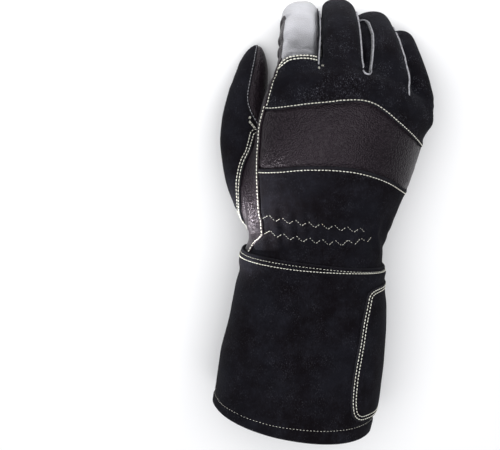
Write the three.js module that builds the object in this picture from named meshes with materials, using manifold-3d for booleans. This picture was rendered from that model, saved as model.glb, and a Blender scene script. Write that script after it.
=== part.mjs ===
// Welding gauntlet for the right hand, lying palm down: black suede back, thumb and cuff, smooth
// leather palm, leather band over the back, leather index finger, set-in thumb and two-piece fingers.
// Millimetres. +Y runs from the cuff to the fingertips, +X to the little finger, +Z up from the surface
// that the glove lies on. Every panel is a real wall with the hollow of the hand behind it.
import * as THREE from "three";
import { mergeVertices } from "three/addons/utils/BufferGeometryUtils.js";
import Module from "manifold-3d";

const wasm = await Module();
wasm.setup();

// Driving sizes
const LEATHER = 2.0; // wall of hand and fingers, leather with its backing
const CUFF_WALL = 2.4; // wall of the cuff
const HEM_WALL = 4.2; // wall of the cuff where its hem is turned in
const PATCH = 1.4; // thickness of a patch sewn on top
const LAP_GAP = 0.3; // gap under a patch or a lapped edge
const SEAM_GAP = 0.4; // slit between two neighbouring panels
const FAR = 250; // beyond the object on every side

const radians = THREE.MathUtils.degToRad;
const lerp = THREE.MathUtils.lerp;
const vector = (x, y, z) => new THREE.Vector3(x, y, z);

// Cuff, from its lapped top edge to the hem. left and right are the sides, low and high the underside
// and the back. slope slants a section in plan; bow moves its two sides towards the hand.
const CUFF_SECTIONS = [
  { y: -23.5, left: -55.5, right: 44, low: 4, high: 82.5, slope: -0.115, bow: 0 },
  { y: -30, left: -57.5, right: 45, low: 2.5, high: 83.5, slope: -0.115, bow: 0 },
  { y: -36, left: -57, right: 43, low: 2, high: 83, slope: -0.115, bow: 0 },
  { y: -50, left: -60, right: 44.5, low: 0.5, high: 84, slope: -0.13, bow: 1 },
  { y: -75, left: -64, right: 44.5, low: -1, high: 85.5, slope: -0.14, bow: 2 },
  { y: -100, left: -69.5, right: 43, low: -1.5, high: 86.5, slope: -0.155, bow: 4 },
  { y: -126, left: -73.5, right: 40, low: -2, high: 87, slope: -0.17, bow: 6 },
  { y: -140, left: -75.5, right: 35, low: -2, high: 87, slope: -0.17, bow: 6 },
];
const HEM_FROM = 6; // section where the turned hem begins
const LAPPED_SECTIONS = 3; // sections of the cuff that lap over the hand

// Hand without fingers, from the cuff to the webs between the fingers. dropLeft and dropRight lower
// the two sides as the hand arches; bowLeft and bowRight move them; tip is 1 where the form ends.
const HAND_SECTIONS = [
  { y: -16, left: -50, right: 42, low: 11, high: 78, dropLeft: 0, dropRight: 0, slope: -0.1, bowLeft: 0, bowRight: 0, tip: 0 },
  { y: -5, left: -48.5, right: 44.5, low: 15, high: 79, dropLeft: 0, dropRight: 2, slope: -0.06, bowLeft: 0, bowRight: 0, tip: 0 },
  { y: 10, left: -50, right: 52, low: 19, high: 82, dropLeft: 1, dropRight: 7, slope: -0.03, bowLeft: 0, bowRight: 0, tip: 0 },
  { y: 27, left: -49, right: 59.5, low: 24, high: 84.5, dropLeft: 2, dropRight: 12, slope: 0, bowLeft: 0, bowRight: 0, tip: 0 },
  { y: 45, left: -47.5, right: 66.5, low: 30, high: 86, dropLeft: 3, dropRight: 17, slope: 0, bowLeft: 0, bowRight: 0, tip: 0 },
  { y: 63, left: -45, right: 71.5, low: 36, high: 86, dropLeft: 4, dropRight: 21, slope: 0, bowLeft: 0, bowRight: -4, tip: 0 },
  { y: 80, left: -42, right: 75, low: 42, high: 84, dropLeft: 5, dropRight: 23, slope: 0, bowLeft: -1, bowRight: -10, tip: 0 },
  { y: 93, left: -38.5, right: 72, low: 46, high: 81, dropLeft: 5, dropRight: 23, slope: 0, bowLeft: -3, bowRight: -17, tip: 0.3 },
  { y: 102, left: -35, right: 66, low: 51, high: 76, dropLeft: 5, dropRight: 21, slope: 0, bowLeft: -5, bowRight: -22, tip: 0.8 },
  { y: 105.5, left: -29, right: 58, low: 56, high: 70, dropLeft: 4, dropRight: 17, slope: 0, bowLeft: -5, bowRight: -23, tip: 1 },
];

// Fingers. x, y, z is the start inside the knuckles; heading turns in plan, positive to the little finger.
// The finger is long by length and curls from pitch start to end; wide and deep go from base to tip.
const FINGERS = {
  index: { x: -20, y: 84, z: 64, heading: 5, length: 89, start: 12, end: 84, wide: [29, 25], deep: [28, 25.5] },
  middle: { x: 11, y: 85, z: 66, heading: 0, length: 92, start: 14, end: 84, wide: [29, 25.5], deep: [28, 26] },
  ring: { x: 46.5, y: 82, z: 60, heading: -9.5, length: 84.5, start: 14, end: 84, wide: [27, 24.5], deep: [27, 25] },
  little: { x: 66, y: 71, z: 41, heading: -12, length: 69, start: 2, end: 66, wide: [25.5, 22.5], deep: [25, 23] },
};

// Thumb, in short stations along its middle line, and its tapered tip.
const THUMB_STATIONS = [
  { x: -34, y: -4, z: 42, wide: 22, deep: 40 },
  { x: -41.5, y: 12, z: 40, wide: 34, deep: 46 },
  { x: -47.5, y: 30, z: 36, wide: 37, deep: 44 },
  { x: -52, y: 48, z: 31, wide: 35, deep: 38 },
  { x: -54, y: 66, z: 25, wide: 32, deep: 33 },
  { x: -52.6, y: 84, z: 19, wide: 29.6, deep: 29 },
  { x: -50.4, y: 100, z: 13, wide: 26.6, deep: 26 },
];
const THUMB_TIP = { length: 23, power: 1.65 };

// Where the back meets the palm on the hand: x of the seam beside the thumb, and the heights of the
// dividing surface there, in the middle and beyond the little finger.
const BACK_EDGE = [
  { y: -60, x: -52, leftZ: 56, middleZ: 50, rightZ: 41 },
  { y: -17, x: -49.5, leftZ: 56, middleZ: 50, rightZ: 41 },
  { y: -10.5, x: -45.7, leftZ: 56, middleZ: 50, rightZ: 40 },
  { y: -5.9, x: -42.1, leftZ: 56, middleZ: 50, rightZ: 40 },
  { y: 2.2, x: -42.4, leftZ: 56, middleZ: 50, rightZ: 38 },
  { y: 12.2, x: -44.4, leftZ: 58, middleZ: 50, rightZ: 36 },
  { y: 25, x: -45, leftZ: 60, middleZ: 51, rightZ: 34 },
  { y: 41, x: -44.4, leftZ: 62, middleZ: 54, rightZ: 32 },
  { y: 57, x: -43.7, leftZ: 63, middleZ: 57, rightZ: 31 },
  { y: 70, x: -42.4, leftZ: 64, middleZ: 59, rightZ: 30 },
  { y: 80.5, x: -39.7, leftZ: 64, middleZ: 60, rightZ: 30 },
  { y: 89, x: -37.4, leftZ: 64, middleZ: 61, rightZ: 32 },
  { y: 112, x: -32, leftZ: 64, middleZ: 61, rightZ: 36 },
];
const BACK_MIDDLE_X = 30;
const BACK_RIGHT_X = 90;

// Panel edges in plan, over the back of the hand.
const BAND_TOP_EDGE = [
  { x: -70, y: 80.5 }, { x: -37, y: 80 }, { x: -24, y: 80.5 }, { x: -12, y: 82.5 }, { x: 0, y: 84.5 },
  { x: 12, y: 86.5 }, { x: 24, y: 87 }, { x: 31, y: 85.5 }, { x: 38, y: 82 }, { x: 46, y: 75.5 },
  { x: 55, y: 67.5 }, { x: 66, y: 55.5 }, { x: 84, y: 36 },
];
const BAND_LOW_EDGE = [
  { x: -70, y: 37.5 }, { x: -42, y: 37.5 }, { x: -32, y: 38 }, { x: -20, y: 38.8 }, { x: -6, y: 39.2 },
  { x: 6, y: 39 }, { x: 18, y: 37.2 }, { x: 30, y: 34 }, { x: 43, y: 29 }, { x: 54, y: 21.5 }, { x: 84, y: -2 },
];
const INDEX_LOW_EDGE = [
  { x: -60, y: 93 }, { x: -36, y: 100 }, { x: -31, y: 106.5 }, { x: -26, y: 111 }, { x: -20, y: 112.5 },
  { x: -12, y: 112.5 }, { x: -2.8, y: 112 }, { x: -2.8, y: 170 }, { x: -60, y: 170 },
];

// The set-in thumb in plan: its leather seam on the palm with a pointed corner, and its edge on the back.
const THUMB_PALM_EDGE = [
  { x: -31.8, y: -3 }, { x: -20, y: 1.5 }, { x: -13, y: 8.3 }, { x: -8, y: 17 }, { x: -5.7, y: 26 },
  { x: -4.6, y: 37 }, { x: -4.8, y: 48.2 }, { x: -8.4, y: 64 }, { x: -14.5, y: 74 }, { x: -24, y: 55 },
  { x: -30, y: 54 }, { x: -37, y: 60 }, { x: -38, y: 75 }, { x: -34, y: 140 }, { x: -100, y: 140 },
  { x: -100, y: -14 }, { x: -60, y: -14 },
];
const THUMB_BACK_EDGE = [
  { x: -100, y: 75 }, { x: -50, y: 75 }, { x: -46, y: 66 }, { x: -47, y: 60 }, { x: -50.7, y: 51 },
  { x: -55.9, y: 42 }, { x: -58.3, y: 32.4 }, { x: -59, y: 21.4 }, { x: -58, y: 14.5 }, { x: -55.2, y: 7.6 },
  { x: -48, y: -4 }, { x: -60, y: -14 }, { x: -100, y: -14 },
];
const THUMB_SPLIT = [{ y: -60, z: 40 }, { y: 30, z: 40 }, { y: 66, z: 43 }, { y: 150, z: 43 }];
// Where the suede back of the thumb ends: x towards the fingers and z on the outer side.
const THUMB_SUEDE_EDGE = [
  { y: -60, x: -30, z: 36 }, { y: 12, x: -34, z: 35 }, { y: 30, x: -38, z: 31 }, { y: 60, x: -40, z: 23 },
  { y: 69, x: -44.2, z: 21 }, { y: 76, x: -48.3, z: 19.5 }, { y: 84, x: -50.8, z: 18 }, { y: 93, x: -49.7, z: 16 },
  { y: 100, x: -48.3, z: 14.5 }, { y: 108, x: -46.6, z: 12.5 }, { y: 130, x: -43, z: 8 },
];

// Patches sewn on top, in plan.
const HEEL_PATCH = [
  { x: 68, y: 58 }, { x: 64.5, y: 66 }, { x: 58.5, y: 64.5 }, { x: 51, y: 55.5 }, { x: 43.5, y: 49 },
  { x: 35, y: 43 }, { x: 25.5, y: 40.5 }, { x: 16, y: 39 }, { x: 9, y: 36.5 }, { x: 2, y: 29.5 },
  { x: -5, y: 21.5 }, { x: -8.5, y: 12.5 }, { x: -7.5, y: 5.5 }, { x: -2, y: -1.5 }, { x: 5, y: -7.5 },
  { x: 16, y: -12.5 }, { x: 30, y: -16 }, { x: 60, y: -16 }, { x: 90, y: 58 },
];
const HEEL_TOP_Z = 33; // height where the heel patch meets the side seam
const CUFF_PATCH_BACK = [
  { x: 60, y: -41 }, { x: 36, y: -43.5 }, { x: 32.5, y: -48 }, { x: 29.5, y: -61 }, { x: 27.5, y: -72 },
  { x: 24.5, y: -86 }, { x: 21.5, y: -98 }, { x: 20, y: -112 }, { x: 19.5, y: -124 }, { x: 22, y: -131 },
  { x: 27, y: -133.5 }, { x: 32, y: -133 }, { x: 60, y: -128 },
];
const CUFF_PATCH_UNDER = [
  { x: 60, y: -41 }, { x: 30, y: -40.5 }, { x: 24, y: -43.5 }, { x: 21, y: -51 }, { x: 18.5, y: -62 },
  { x: 16, y: -76 }, { x: 13.5, y: -94 }, { x: 11, y: -110 }, { x: 9.5, y: -120 }, { x: 12, y: -125.5 },
  { x: 20, y: -128.5 }, { x: 34, y: -131.5 }, { x: 60, y: -128 },
];
const CUFF_MIDDLE_Z = 43;
// The underside of the cuff lies on the surface and is lifted by its patch from liftFrom to liftTo.
const REST = { liftFrom: -2, liftTo: 10, lift: PATCH + LAP_GAP };

// Fourchettes, the strips between two fingers: web is where along each finger the strip turns,
// low and high are its edges over that finger's middle line.
const FOURCHETTES = {
  index_middle: {
    left: { finger: "index", web: 21, low: -5.5, high: 4.5 },
    right: { finger: "middle", web: 20, low: -5.5, high: 4.5 },
  },
  middle_ring: {
    left: { finger: "middle", web: 15, low: -5.5, high: 4.5 },
    right: { finger: "ring", web: 17, low: -5.5, high: 4.5 },
  },
  ring_little: {
    left: { finger: "ring", web: 5, low: -9.5, high: 2.5 },
    right: { finger: "little", web: 14, low: -1, high: 8 },
  },
};
const STRIP_END = 0.8; // share of the finger's length where a strip ends
const FINGER_SEAM = -4; // lower edge of the suede on the outer side of a finger
const CAP_STARTS = 0.78; // share of the length where the suede begins to wrap over the tip
const CAP_FULL = 0.94;

const HAND_SIDES = 24;
const HAND_SQUARE = 2.45;
const FINGER_SIDES = 12;
const FINGER_SQUARE = 2.4;
const THUMB_SQUARE = 2.2;
const FINGER_STEPS = 6;
const BASE_WIDTH = 0.62; // a finger starts narrower, inside the knuckles
const TIP_STEPS = 3;
const TIP_POWER = 2.3;
const TIP_REACH = 0.94; // share of the quarter turn that the rounded tip covers

const signedPower = (value, power) => Math.sign(value) * Math.abs(value) ** power;

// A point of one closed curve: an ellipse at squareness 2, with flatter sides above it.
function ringPoint(k, sides, squareness) {
  const angle = (k / sides) * 2 * Math.PI;
  return {
    across: signedPower(Math.cos(angle), 2 / squareness),
    up: signedPower(Math.sin(angle), 2 / squareness),
  };
}

// A closed surface through rings of equal count, each end closed by a fan.
function loft(rings) {
  const count = rings[0].length;
  const points = rings.flat();
  const faces = [];
  for (let ring = 0; ring + 1 < rings.length; ring++) {
    for (let k = 0; k < count; k++) {
      const next = (k + 1) % count;
      const a = ring * count + k;
      const b = ring * count + next;
      faces.push(a, a + count, b, b, a + count, b + count);
    }
  }
  for (const [first, flip] of [[0, false], [(rings.length - 1) * count, true]]) {
    const middle = points.length;
    const centre = vector(0, 0, 0);
    for (let k = 0; k < count; k++) centre.addScaledVector(points[first + k], 1 / count);
    points.push(centre);
    for (let k = 0; k < count; k++) {
      const a = first + k;
      const b = first + ((k + 1) % count);
      if (flip) faces.push(middle, b, a);
      else faces.push(middle, a, b);
    }
  }
  const geometry = new THREE.BufferGeometry().setFromPoints(points);
  geometry.setIndex(faces);
  return geometry;
}

// three.js geometry as a solid for cutting and joining, its faces turned outwards.
function solid(geometry) {
  const bare = geometry.clone();
  for (const name of Object.keys(bare.attributes)) if (name !== "position") bare.deleteAttribute(name);
  const merged = mergeVertices(bare, 1e-4);
  const index = Array.from(merged.index.array);
  const build = () =>
    new wasm.Manifold(
      new wasm.Mesh({
        numProp: 3,
        vertProperties: new Float32Array(merged.attributes.position.array),
        triVerts: new Uint32Array(index),
      }),
    );
  const made = build();
  if (made.volume() > 0) return made;
  for (let i = 0; i < index.length; i += 3) [index[i + 1], index[i + 2]] = [index[i + 2], index[i + 1]];
  return build();
}

// How high the underside lies above the surface, over the width of the cuff.
const restHeight = (x) => REST.lift * THREE.MathUtils.smoothstep(x, REST.liftFrom, REST.liftTo);

// Rings of a body that runs along Y, from a table of sections; inset moves every side inwards.
function sectionRings(sections, inset) {
  return sections.map((row) => {
    const centreX = (row.left + row.right) / 2;
    const centreZ = (row.low + row.high) / 2;
    const halfWide = (row.right - row.left) / 2 - inset;
    const halfDeep = (row.high - row.low) / 2 - inset;
    const ring = [];
    for (let k = 0; k < HAND_SIDES; k++) {
      const { across, up } = ringPoint(k, HAND_SIDES, HAND_SQUARE);
      const side = across * across;
      const bow = row.bow ?? (across > 0 ? row.bowRight : row.bowLeft);
      const drop = (across > 0 ? row.dropRight : row.dropLeft) ?? 0;
      const x = centreX + halfWide * across;
      const y = row.y - inset * (row.tip ?? 0) + row.slope * halfWide * across + bow * side;
      const z = centreZ + halfDeep * up - drop * side;
      ring.push(vector(x, y, Math.max(z, restHeight(x) + inset)));
    }
    return ring;
  });
}

// The finger's middle line at length s: its pitch grows evenly from start to end.
function spineAt(row, s) {
  const heading = radians(row.heading);
  const start = radians(row.start);
  const rate = (radians(row.end) - start) / row.length;
  const pitch = start + rate * s;
  const reach = (Math.sin(pitch) - Math.sin(start)) / rate;
  const fall = (Math.cos(start) - Math.cos(pitch)) / rate;
  const plan = vector(Math.sin(heading), Math.cos(heading), 0);
  const point = vector(row.x, row.y, row.z - fall).addScaledVector(plan, reach);
  const direction = plan.clone().multiplyScalar(Math.cos(pitch)).setZ(-Math.sin(pitch));
  const up = plan.clone().multiplyScalar(Math.sin(pitch)).setZ(Math.cos(pitch));
  const across = vector(Math.cos(heading), -Math.sin(heading), 0);
  return { point, direction, up, across };
}

// Stations along a rounded end: how far through it, and how much of the full width is left.
function roundedEnd(power) {
  const steps = [];
  for (let i = 1; i <= TIP_STEPS; i++) {
    const through = Math.sin((TIP_REACH * i * Math.PI) / 2 / TIP_STEPS);
    steps.push({ through, width: (1 - through ** power) ** (1 / power) });
  }
  return steps;
}

function fingerFrames(row, inset) {
  const tipRadius = row.deep[1] / 2 - inset;
  const straight = row.length - inset - tipRadius;
  const stations = [];
  for (let i = 0; i <= FINGER_STEPS; i++) {
    stations.push({ s: (straight * i) / FINGER_STEPS, width: i === 0 ? BASE_WIDTH : 1 });
  }
  for (const end of roundedEnd(TIP_POWER)) stations.push({ s: straight + tipRadius * end.through, width: end.width });
  return stations.map(({ s, width }) => {
    const share = Math.min(s / row.length, 1);
    const half = (lerp(row.wide[0], row.wide[1], share) / 2 - inset) * width;
    const high = (lerp(row.deep[0], row.deep[1], share) / 2 - inset) * width;
    return { ...spineAt(row, s), half, high };
  });
}

// Frames along the thumb, a smooth curve through its stations with a tapered tip.
function thumbFrames(inset) {
  const path = new THREE.CatmullRomCurve3(THUMB_STATIONS.map((row) => vector(row.x, row.y, row.z)));
  const last = THUMB_STATIONS.length - 1;
  const frames = THUMB_STATIONS.map((row, i) => {
    const direction = path.getTangent(i / last);
    const across = vector(direction.y, -direction.x, 0).normalize();
    const up = new THREE.Vector3().crossVectors(across, direction);
    return { point: vector(row.x, row.y, row.z), direction, across, up, half: row.wide / 2 - inset, high: row.deep / 2 - inset };
  });
  const end = frames[last];
  for (const { through, width } of roundedEnd(THUMB_TIP.power)) {
    const point = end.point.clone().addScaledVector(end.direction, (THUMB_TIP.length - inset) * through);
    frames.push({ ...end, point, half: end.half * width, high: end.high * width });
  }
  return frames;
}

// Rings around a row of frames; nothing goes under the surface that the glove lies on.
function frameRings(frames, squareness, inset) {
  return frames.map(({ point, across, up, half, high }) => {
    const ring = [];
    for (let k = 0; k < FINGER_SIDES; k++) {
      const on = ringPoint(k, FINGER_SIDES, squareness);
      const p = point.clone().addScaledVector(across, half * on.across).addScaledVector(up, high * on.up);
      ring.push(p.setZ(Math.max(p.z, inset)));
    }
    return ring;
  });
}

// The hand's form at a depth under its outer surface, as one solid. The end in the cuff follows the
// cuff's own sections; a hollow form runs on past that end, so that the shell is open there.
const LAPPED_END = CUFF_SECTIONS.slice(0, LAPPED_SECTIONS).reverse();
function handForm(inset) {
  const lap = CUFF_WALL + LAP_GAP + inset;
  const rings = [...sectionRings(LAPPED_END, lap), ...sectionRings(HAND_SECTIONS, inset)];
  if (inset > 0) rings.unshift(rings[0].map((p) => p.clone().setY(p.y - 20)));
  let form = solid(loft(rings));
  for (const row of Object.values(FINGERS)) {
    form = form.add(solid(loft(frameRings(fingerFrames(row, inset), FINGER_SQUARE, inset))));
  }
  return form.add(solid(loft(frameRings(thumbFrames(inset), THUMB_SQUARE, inset))));
}

// The cuff's form; the hollow one runs on past both ends and steps in where the hem is turned.
function cuffForm(inset) {
  return solid(loft(sectionRings(CUFF_SECTIONS, inset)));
}
function cuffHollow() {
  const rings = sectionRings(CUFF_SECTIONS.slice(0, HEM_FROM + 1), CUFF_WALL);
  const hem = sectionRings(CUFF_SECTIONS.slice(HEM_FROM), HEM_WALL);
  const beyond = (ring, by) => ring.map((p) => p.clone().setY(p.y + by));
  return solid(loft([beyond(rings[0], 10), ...rings, ...hem, beyond(hem[1], -20)]));
}

// A volume under or over a plan outline; grow moves its outline outwards.
function prism(outline, fromZ, toZ, grow = 0) {
  const count = outline.length;
  const area = outline.reduce((sum, p, i) => {
    const next = outline[(i + 1) % count];
    return sum + p.x * next.y - next.x * p.y;
  }, 0);
  const turn = Math.sign(area) * grow;
  const moved = outline.map((p, i) => {
    const before = outline[(i + count - 1) % count];
    const after = outline[(i + 1) % count];
    const into = new THREE.Vector2(p.x - before.x, p.y - before.y).normalize();
    const out = new THREE.Vector2(after.x - p.x, after.y - p.y).normalize();
    const normal = new THREE.Vector2(into.y + out.y, -into.x - out.x).normalize();
    const miter = turn / Math.max(normal.x * into.y - normal.y * into.x, 0.4);
    return new THREE.Vector2(p.x + normal.x * miter, p.y + normal.y * miter);
  });
  const geometry = new THREE.ExtrudeGeometry(new THREE.Shape(moved), { depth: toZ - fromZ, bevelEnabled: false });
  return solid(geometry.translate(0, 0, fromZ));
}

// A volume with one polygon in X and Z at each y of a table.
function sectionVolume(rows, polygon) {
  return solid(loft(rows.map((row) => polygon(row).map(([x, z]) => vector(x, row.y, z)))));
}

// A bar along a finger from one length to another, with its four sides given in the finger's own frame.
function fingerBar(row, lengths, sides) {
  const rings = lengths.map((s) => {
    const { point, across, up } = spineAt(row, s);
    const { left, right, low, high } = sides(s);
    return [[right, high], [left, high], [left, low], [right, low]].map(([a, u]) =>
      point.clone().addScaledVector(across, a).addScaledVector(up, u),
    );
  });
  return solid(loft(rings));
}

// A finger's own form with room around it, so that a bar on one finger leaves its neighbours alone.
function ownForm(row, grow) {
  const room = OWN_ROOM + grow;
  return solid(loft(frameRings(fingerFrames(row, -room), FINGER_SQUARE, -room)));
}

// Lengths at even steps between two ends.
const evenly = (from, to, steps) => Array.from({ length: steps + 1 }, (_, i) => lerp(from, to, i / steps));

const OWN_ROOM = 0.8;
const REACH = 16; // how far a bar reaches from the finger's middle line
const WEB_FROM = 8; // where the block through a web begins, from the finger's middle line

// The strip between two fingers: a bar on each finger and a block through the web.
function fourchetteVolume(strip, grow) {
  const bars = [[strip.left, 3 - grow, REACH], [strip.right, -REACH, -3 + grow]].map(([side, left, right]) => {
    const row = FINGERS[side.finger];
    const lengths = evenly(side.web - 6 - grow, row.length * STRIP_END + grow, 5);
    const bar = fingerBar(row, lengths, () => ({ left, right, low: side.low - grow, high: side.high + grow }));
    return bar.intersect(ownForm(row, grow));
  });
  // The block through the web is a prism between the two fingers.
  const place = (side, across, along) => {
    const at = spineAt(FINGERS[side.finger], side.web + along);
    return at.point.clone().addScaledVector(at.across, across);
  };
  const outline = [
    place(strip.left, WEB_FROM, -6), place(strip.right, -WEB_FROM, -6),
    place(strip.right, -WEB_FROM, 6), place(strip.left, WEB_FROM, 6),
  ];
  const heights = [strip.left, strip.right].map((side) => ({ side, z: place(side, 0, 1).z }));
  const webLow = Math.min(...heights.map(({ side, z }) => z + side.low));
  const webHigh = Math.max(...heights.map(({ side, z }) => z + side.high));
  const web = prism(outline, webLow - grow, webHigh + grow, grow);
  return bars[0].add(bars[1]).add(web);
}

// The back half of a finger, which wraps over its tip.
function fingerBackVolume(row, grow) {
  const capStart = row.length * CAP_STARTS;
  const capFull = row.length * CAP_FULL;
  const lengths = [...evenly(6 - grow, capStart, 5), capFull, row.length + 6];
  const bar = fingerBar(row, lengths, (s) => {
    const wrap = THREE.MathUtils.clamp((s - capStart) / (capFull - capStart), 0, 1);
    return { left: -REACH, right: REACH, low: lerp(FINGER_SEAM, -REACH - 6, wrap) - grow, high: REACH + 6 };
  });
  return bar.intersect(ownForm(row, grow));
}

function backVolume(grow) {
  const rows = BACK_EDGE.map((row, i) => (i + 1 < BACK_EDGE.length ? row : { ...row, y: row.y + grow }));
  let volume = sectionVolume(rows, (row) => [
    [row.x - grow, FAR],
    [row.x - grow, row.leftZ - grow],
    [BACK_MIDDLE_X, row.middleZ - grow],
    [BACK_RIGHT_X, row.rightZ - grow],
    [BACK_RIGHT_X, FAR],
  ]);
  for (const row of Object.values(FINGERS)) volume = volume.add(fingerBackVolume(row, grow));
  return volume;
}

function thumbVolume(grow) {
  const lap = 0.5 + grow;
  const under = sectionVolume(THUMB_SPLIT, ({ z }) => [[-FAR, -FAR], [FAR, -FAR], [FAR, z + lap], [-FAR, z + lap]]);
  const over = sectionVolume(THUMB_SPLIT, ({ z }) => [[-FAR, z - lap], [FAR, z - lap], [FAR, FAR], [-FAR, FAR]]);
  const palm = prism(THUMB_PALM_EDGE, -FAR, FAR, grow).intersect(under);
  return palm.add(prism(THUMB_BACK_EDGE, -FAR, FAR, grow).intersect(over));
}

function thumbSuedeVolume(grow) {
  return sectionVolume(THUMB_SUEDE_EDGE, ({ x, z }) => [
    [-FAR, z - grow], [x + grow, z - grow], [x + grow, FAR], [-FAR, FAR],
  ]);
}

// A part of the hand's back beyond an edge that crosses it, towards the fingertips.
const beyondEdge = (edge, grow) => prism([...edge, { x: 84, y: 200 }, { x: -70, y: 200 }], -FAR, FAR, grow);

// The largest connected surface of a cut is the panel; crumbs left beside a slit are dropped.
const MERGE = 1e-3;
function panelGeometry(cut) {
  const mesh = cut.getMesh();
  const raw = new THREE.BufferGeometry();
  raw.setAttribute("position", new THREE.BufferAttribute(new Float32Array(mesh.vertProperties), 3));
  raw.setIndex(new THREE.BufferAttribute(new Uint32Array(mesh.triVerts), 1));
  const merged = mergeVertices(raw, MERGE);
  const index = merged.index.array;
  const parent = Array.from({ length: merged.attributes.position.count }, (_, i) => i);
  const root = (i) => {
    while (parent[i] !== i) i = parent[i];
    return i;
  };
  const faces = [];
  for (let i = 0; i < index.length; i += 3) {
    const [a, b, c] = [index[i], index[i + 1], index[i + 2]];
    if (a === b || b === c || c === a) continue;
    faces.push([a, b, c]);
    parent[root(b)] = root(a);
    parent[root(c)] = root(a);
  }
  const bodies = new Map();
  for (const face of faces) {
    const key = root(face[0]);
    if (!bodies.has(key)) bodies.set(key, []);
    bodies.get(key).push(face);
  }
  const largest = [...bodies.values()].reduce((best, body) => (body.length > best.length ? body : best));
  const panel = new THREE.BufferGeometry();
  panel.setAttribute("position", merged.attributes.position);
  panel.setIndex(largest.flat());
  return mergeVertices(panel.toNonIndexed(), MERGE);
}

// Takes the part of a wall inside a volume and leaves the rest, with half a slit on either side.
function split(wall, volume) {
  return {
    inside: wall.intersect(volume(-SEAM_GAP / 2)),
    outside: wall.subtract(volume(SEAM_GAP / 2)),
  };
}

const pieces = {};

// Walls of the hand, divided into its panels
let wall = handForm(0).subtract(handForm(LEATHER));
for (const [name, strip] of Object.entries(FOURCHETTES)) {
  const cut = split(wall, (grow) => fourchetteVolume(strip, grow));
  pieces[`fourchette_${name}`] = cut.inside;
  wall = cut.outside;
}
const thumb = split(wall, thumbVolume);
const thumbHalves = split(thumb.inside, thumbSuedeVolume);
pieces.thumb_back_suede = thumbHalves.inside;
pieces.thumb_front_leather = thumbHalves.outside;
const hand = split(thumb.outside, backVolume);
pieces.palm_leather = hand.outside;
const indexBack = split(hand.inside, (grow) => prism(INDEX_LOW_EDGE, -FAR, FAR, grow));
pieces.index_back_leather = indexBack.inside;
const knuckles = split(indexBack.outside, (grow) => beyondEdge(BAND_TOP_EDGE, grow));
pieces.knuckle_panel_suede = knuckles.inside;
const band = split(knuckles.outside, (grow) => beyondEdge(BAND_LOW_EDGE, grow));
pieces.back_band_leather = band.inside;
pieces.wrist_panel_suede = band.outside;

// Cuff and the patches sewn on top
pieces.cuff_suede = cuffForm(0).subtract(cuffHollow());
const cuffPatchArea = prism(CUFF_PATCH_BACK, CUFF_MIDDLE_Z, FAR).add(prism(CUFF_PATCH_UNDER, -FAR, CUFF_MIDDLE_Z));
const raise = LAP_GAP + PATCH;
pieces.cuff_side_patch = cuffForm(-raise).subtract(cuffForm(-LAP_GAP)).intersect(cuffPatchArea);
const heelArea = prism(HEEL_PATCH, -FAR, HEEL_TOP_Z);
pieces.palm_heel_patch = handForm(-raise).subtract(handForm(-LAP_GAP)).intersect(heelArea);

const LOOKS = {
  suede: { color: 0x16161b, roughness: 0.95, metalness: 0 },
  leather: { color: 0x2c2830, roughness: 0.45, metalness: 0 },
  index_leather: { color: 0x8f8f96, roughness: 0.4, metalness: 0 },
};
const LOOK_OF = {
  cuff_suede: "suede", cuff_side_patch: "suede", wrist_panel_suede: "suede", back_band_leather: "leather",
  knuckle_panel_suede: "suede", index_back_leather: "index_leather", palm_leather: "leather",
  thumb_back_suede: "suede", thumb_front_leather: "leather", palm_heel_patch: "suede",
  fourchette_index_middle: "suede", fourchette_middle_ring: "suede", fourchette_ring_little: "suede",
};

// The finished object stands with the middle of its plan box over the origin.
const group = new THREE.Group();
group.name = "welding_gauntlet";
const box = new THREE.Box3();
const made = Object.entries(pieces).map(([name, body]) => {
  const geometry = panelGeometry(body);
  geometry.computeBoundingBox();
  box.union(geometry.boundingBox);
  return { name, geometry };
});
const middle = box.getCenter(vector(0, 0, 0));
for (const { name, geometry } of made) {
  geometry.translate(-middle.x, -middle.y, -box.min.z);
  geometry.computeVertexNormals();
  const piece = new THREE.Mesh(geometry, new THREE.MeshStandardMaterial(LOOKS[LOOK_OF[name]]));
  piece.name = name;
  group.add(piece);
}

export default group;
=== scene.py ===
"""Welding gauntlet for the right hand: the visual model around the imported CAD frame.

The hand is a field that is negative inside the glove, made from sections, fingers and a thumb like
those of the CAD part. Its surface gets folds and is cut into panels along the seams, and each panel
gets its thickness, lapped or raw edges, stitches and a material. The cuff is a grid of its own. Lengths
are in millimetres on the drawing's axes until a mesh is made; meshes are in metres in the frame's axes.
"""

import math

import bpy
import numpy as np
from mathutils import Matrix, Vector
from mathutils.bvhtree import BVHTree


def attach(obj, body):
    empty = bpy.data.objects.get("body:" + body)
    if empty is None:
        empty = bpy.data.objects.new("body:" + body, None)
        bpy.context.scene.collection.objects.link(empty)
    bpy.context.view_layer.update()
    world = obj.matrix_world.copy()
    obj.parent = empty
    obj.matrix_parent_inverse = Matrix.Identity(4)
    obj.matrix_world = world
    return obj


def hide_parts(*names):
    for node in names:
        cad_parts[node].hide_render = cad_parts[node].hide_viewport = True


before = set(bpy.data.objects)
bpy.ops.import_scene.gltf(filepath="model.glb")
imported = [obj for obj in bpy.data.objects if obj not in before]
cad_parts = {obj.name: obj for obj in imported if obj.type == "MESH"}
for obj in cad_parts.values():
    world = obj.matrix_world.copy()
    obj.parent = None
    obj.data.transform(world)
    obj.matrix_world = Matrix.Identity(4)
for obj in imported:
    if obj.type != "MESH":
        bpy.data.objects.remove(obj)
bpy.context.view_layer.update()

MM = 0.001
PLAN_MIDDLE = np.array([0.395, 4.376, 0.0])  # the frame's origin on the drawing's axes
GRID = 1.1  # pitch of the grid that the hand's surface is found on
LEATHER = 1.3  # thickness of a panel
PATCH = 1.4  # thickness of a patch sewn on top
CUFF_WALL = 2.4
HEM_WALL = 4.2
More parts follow.
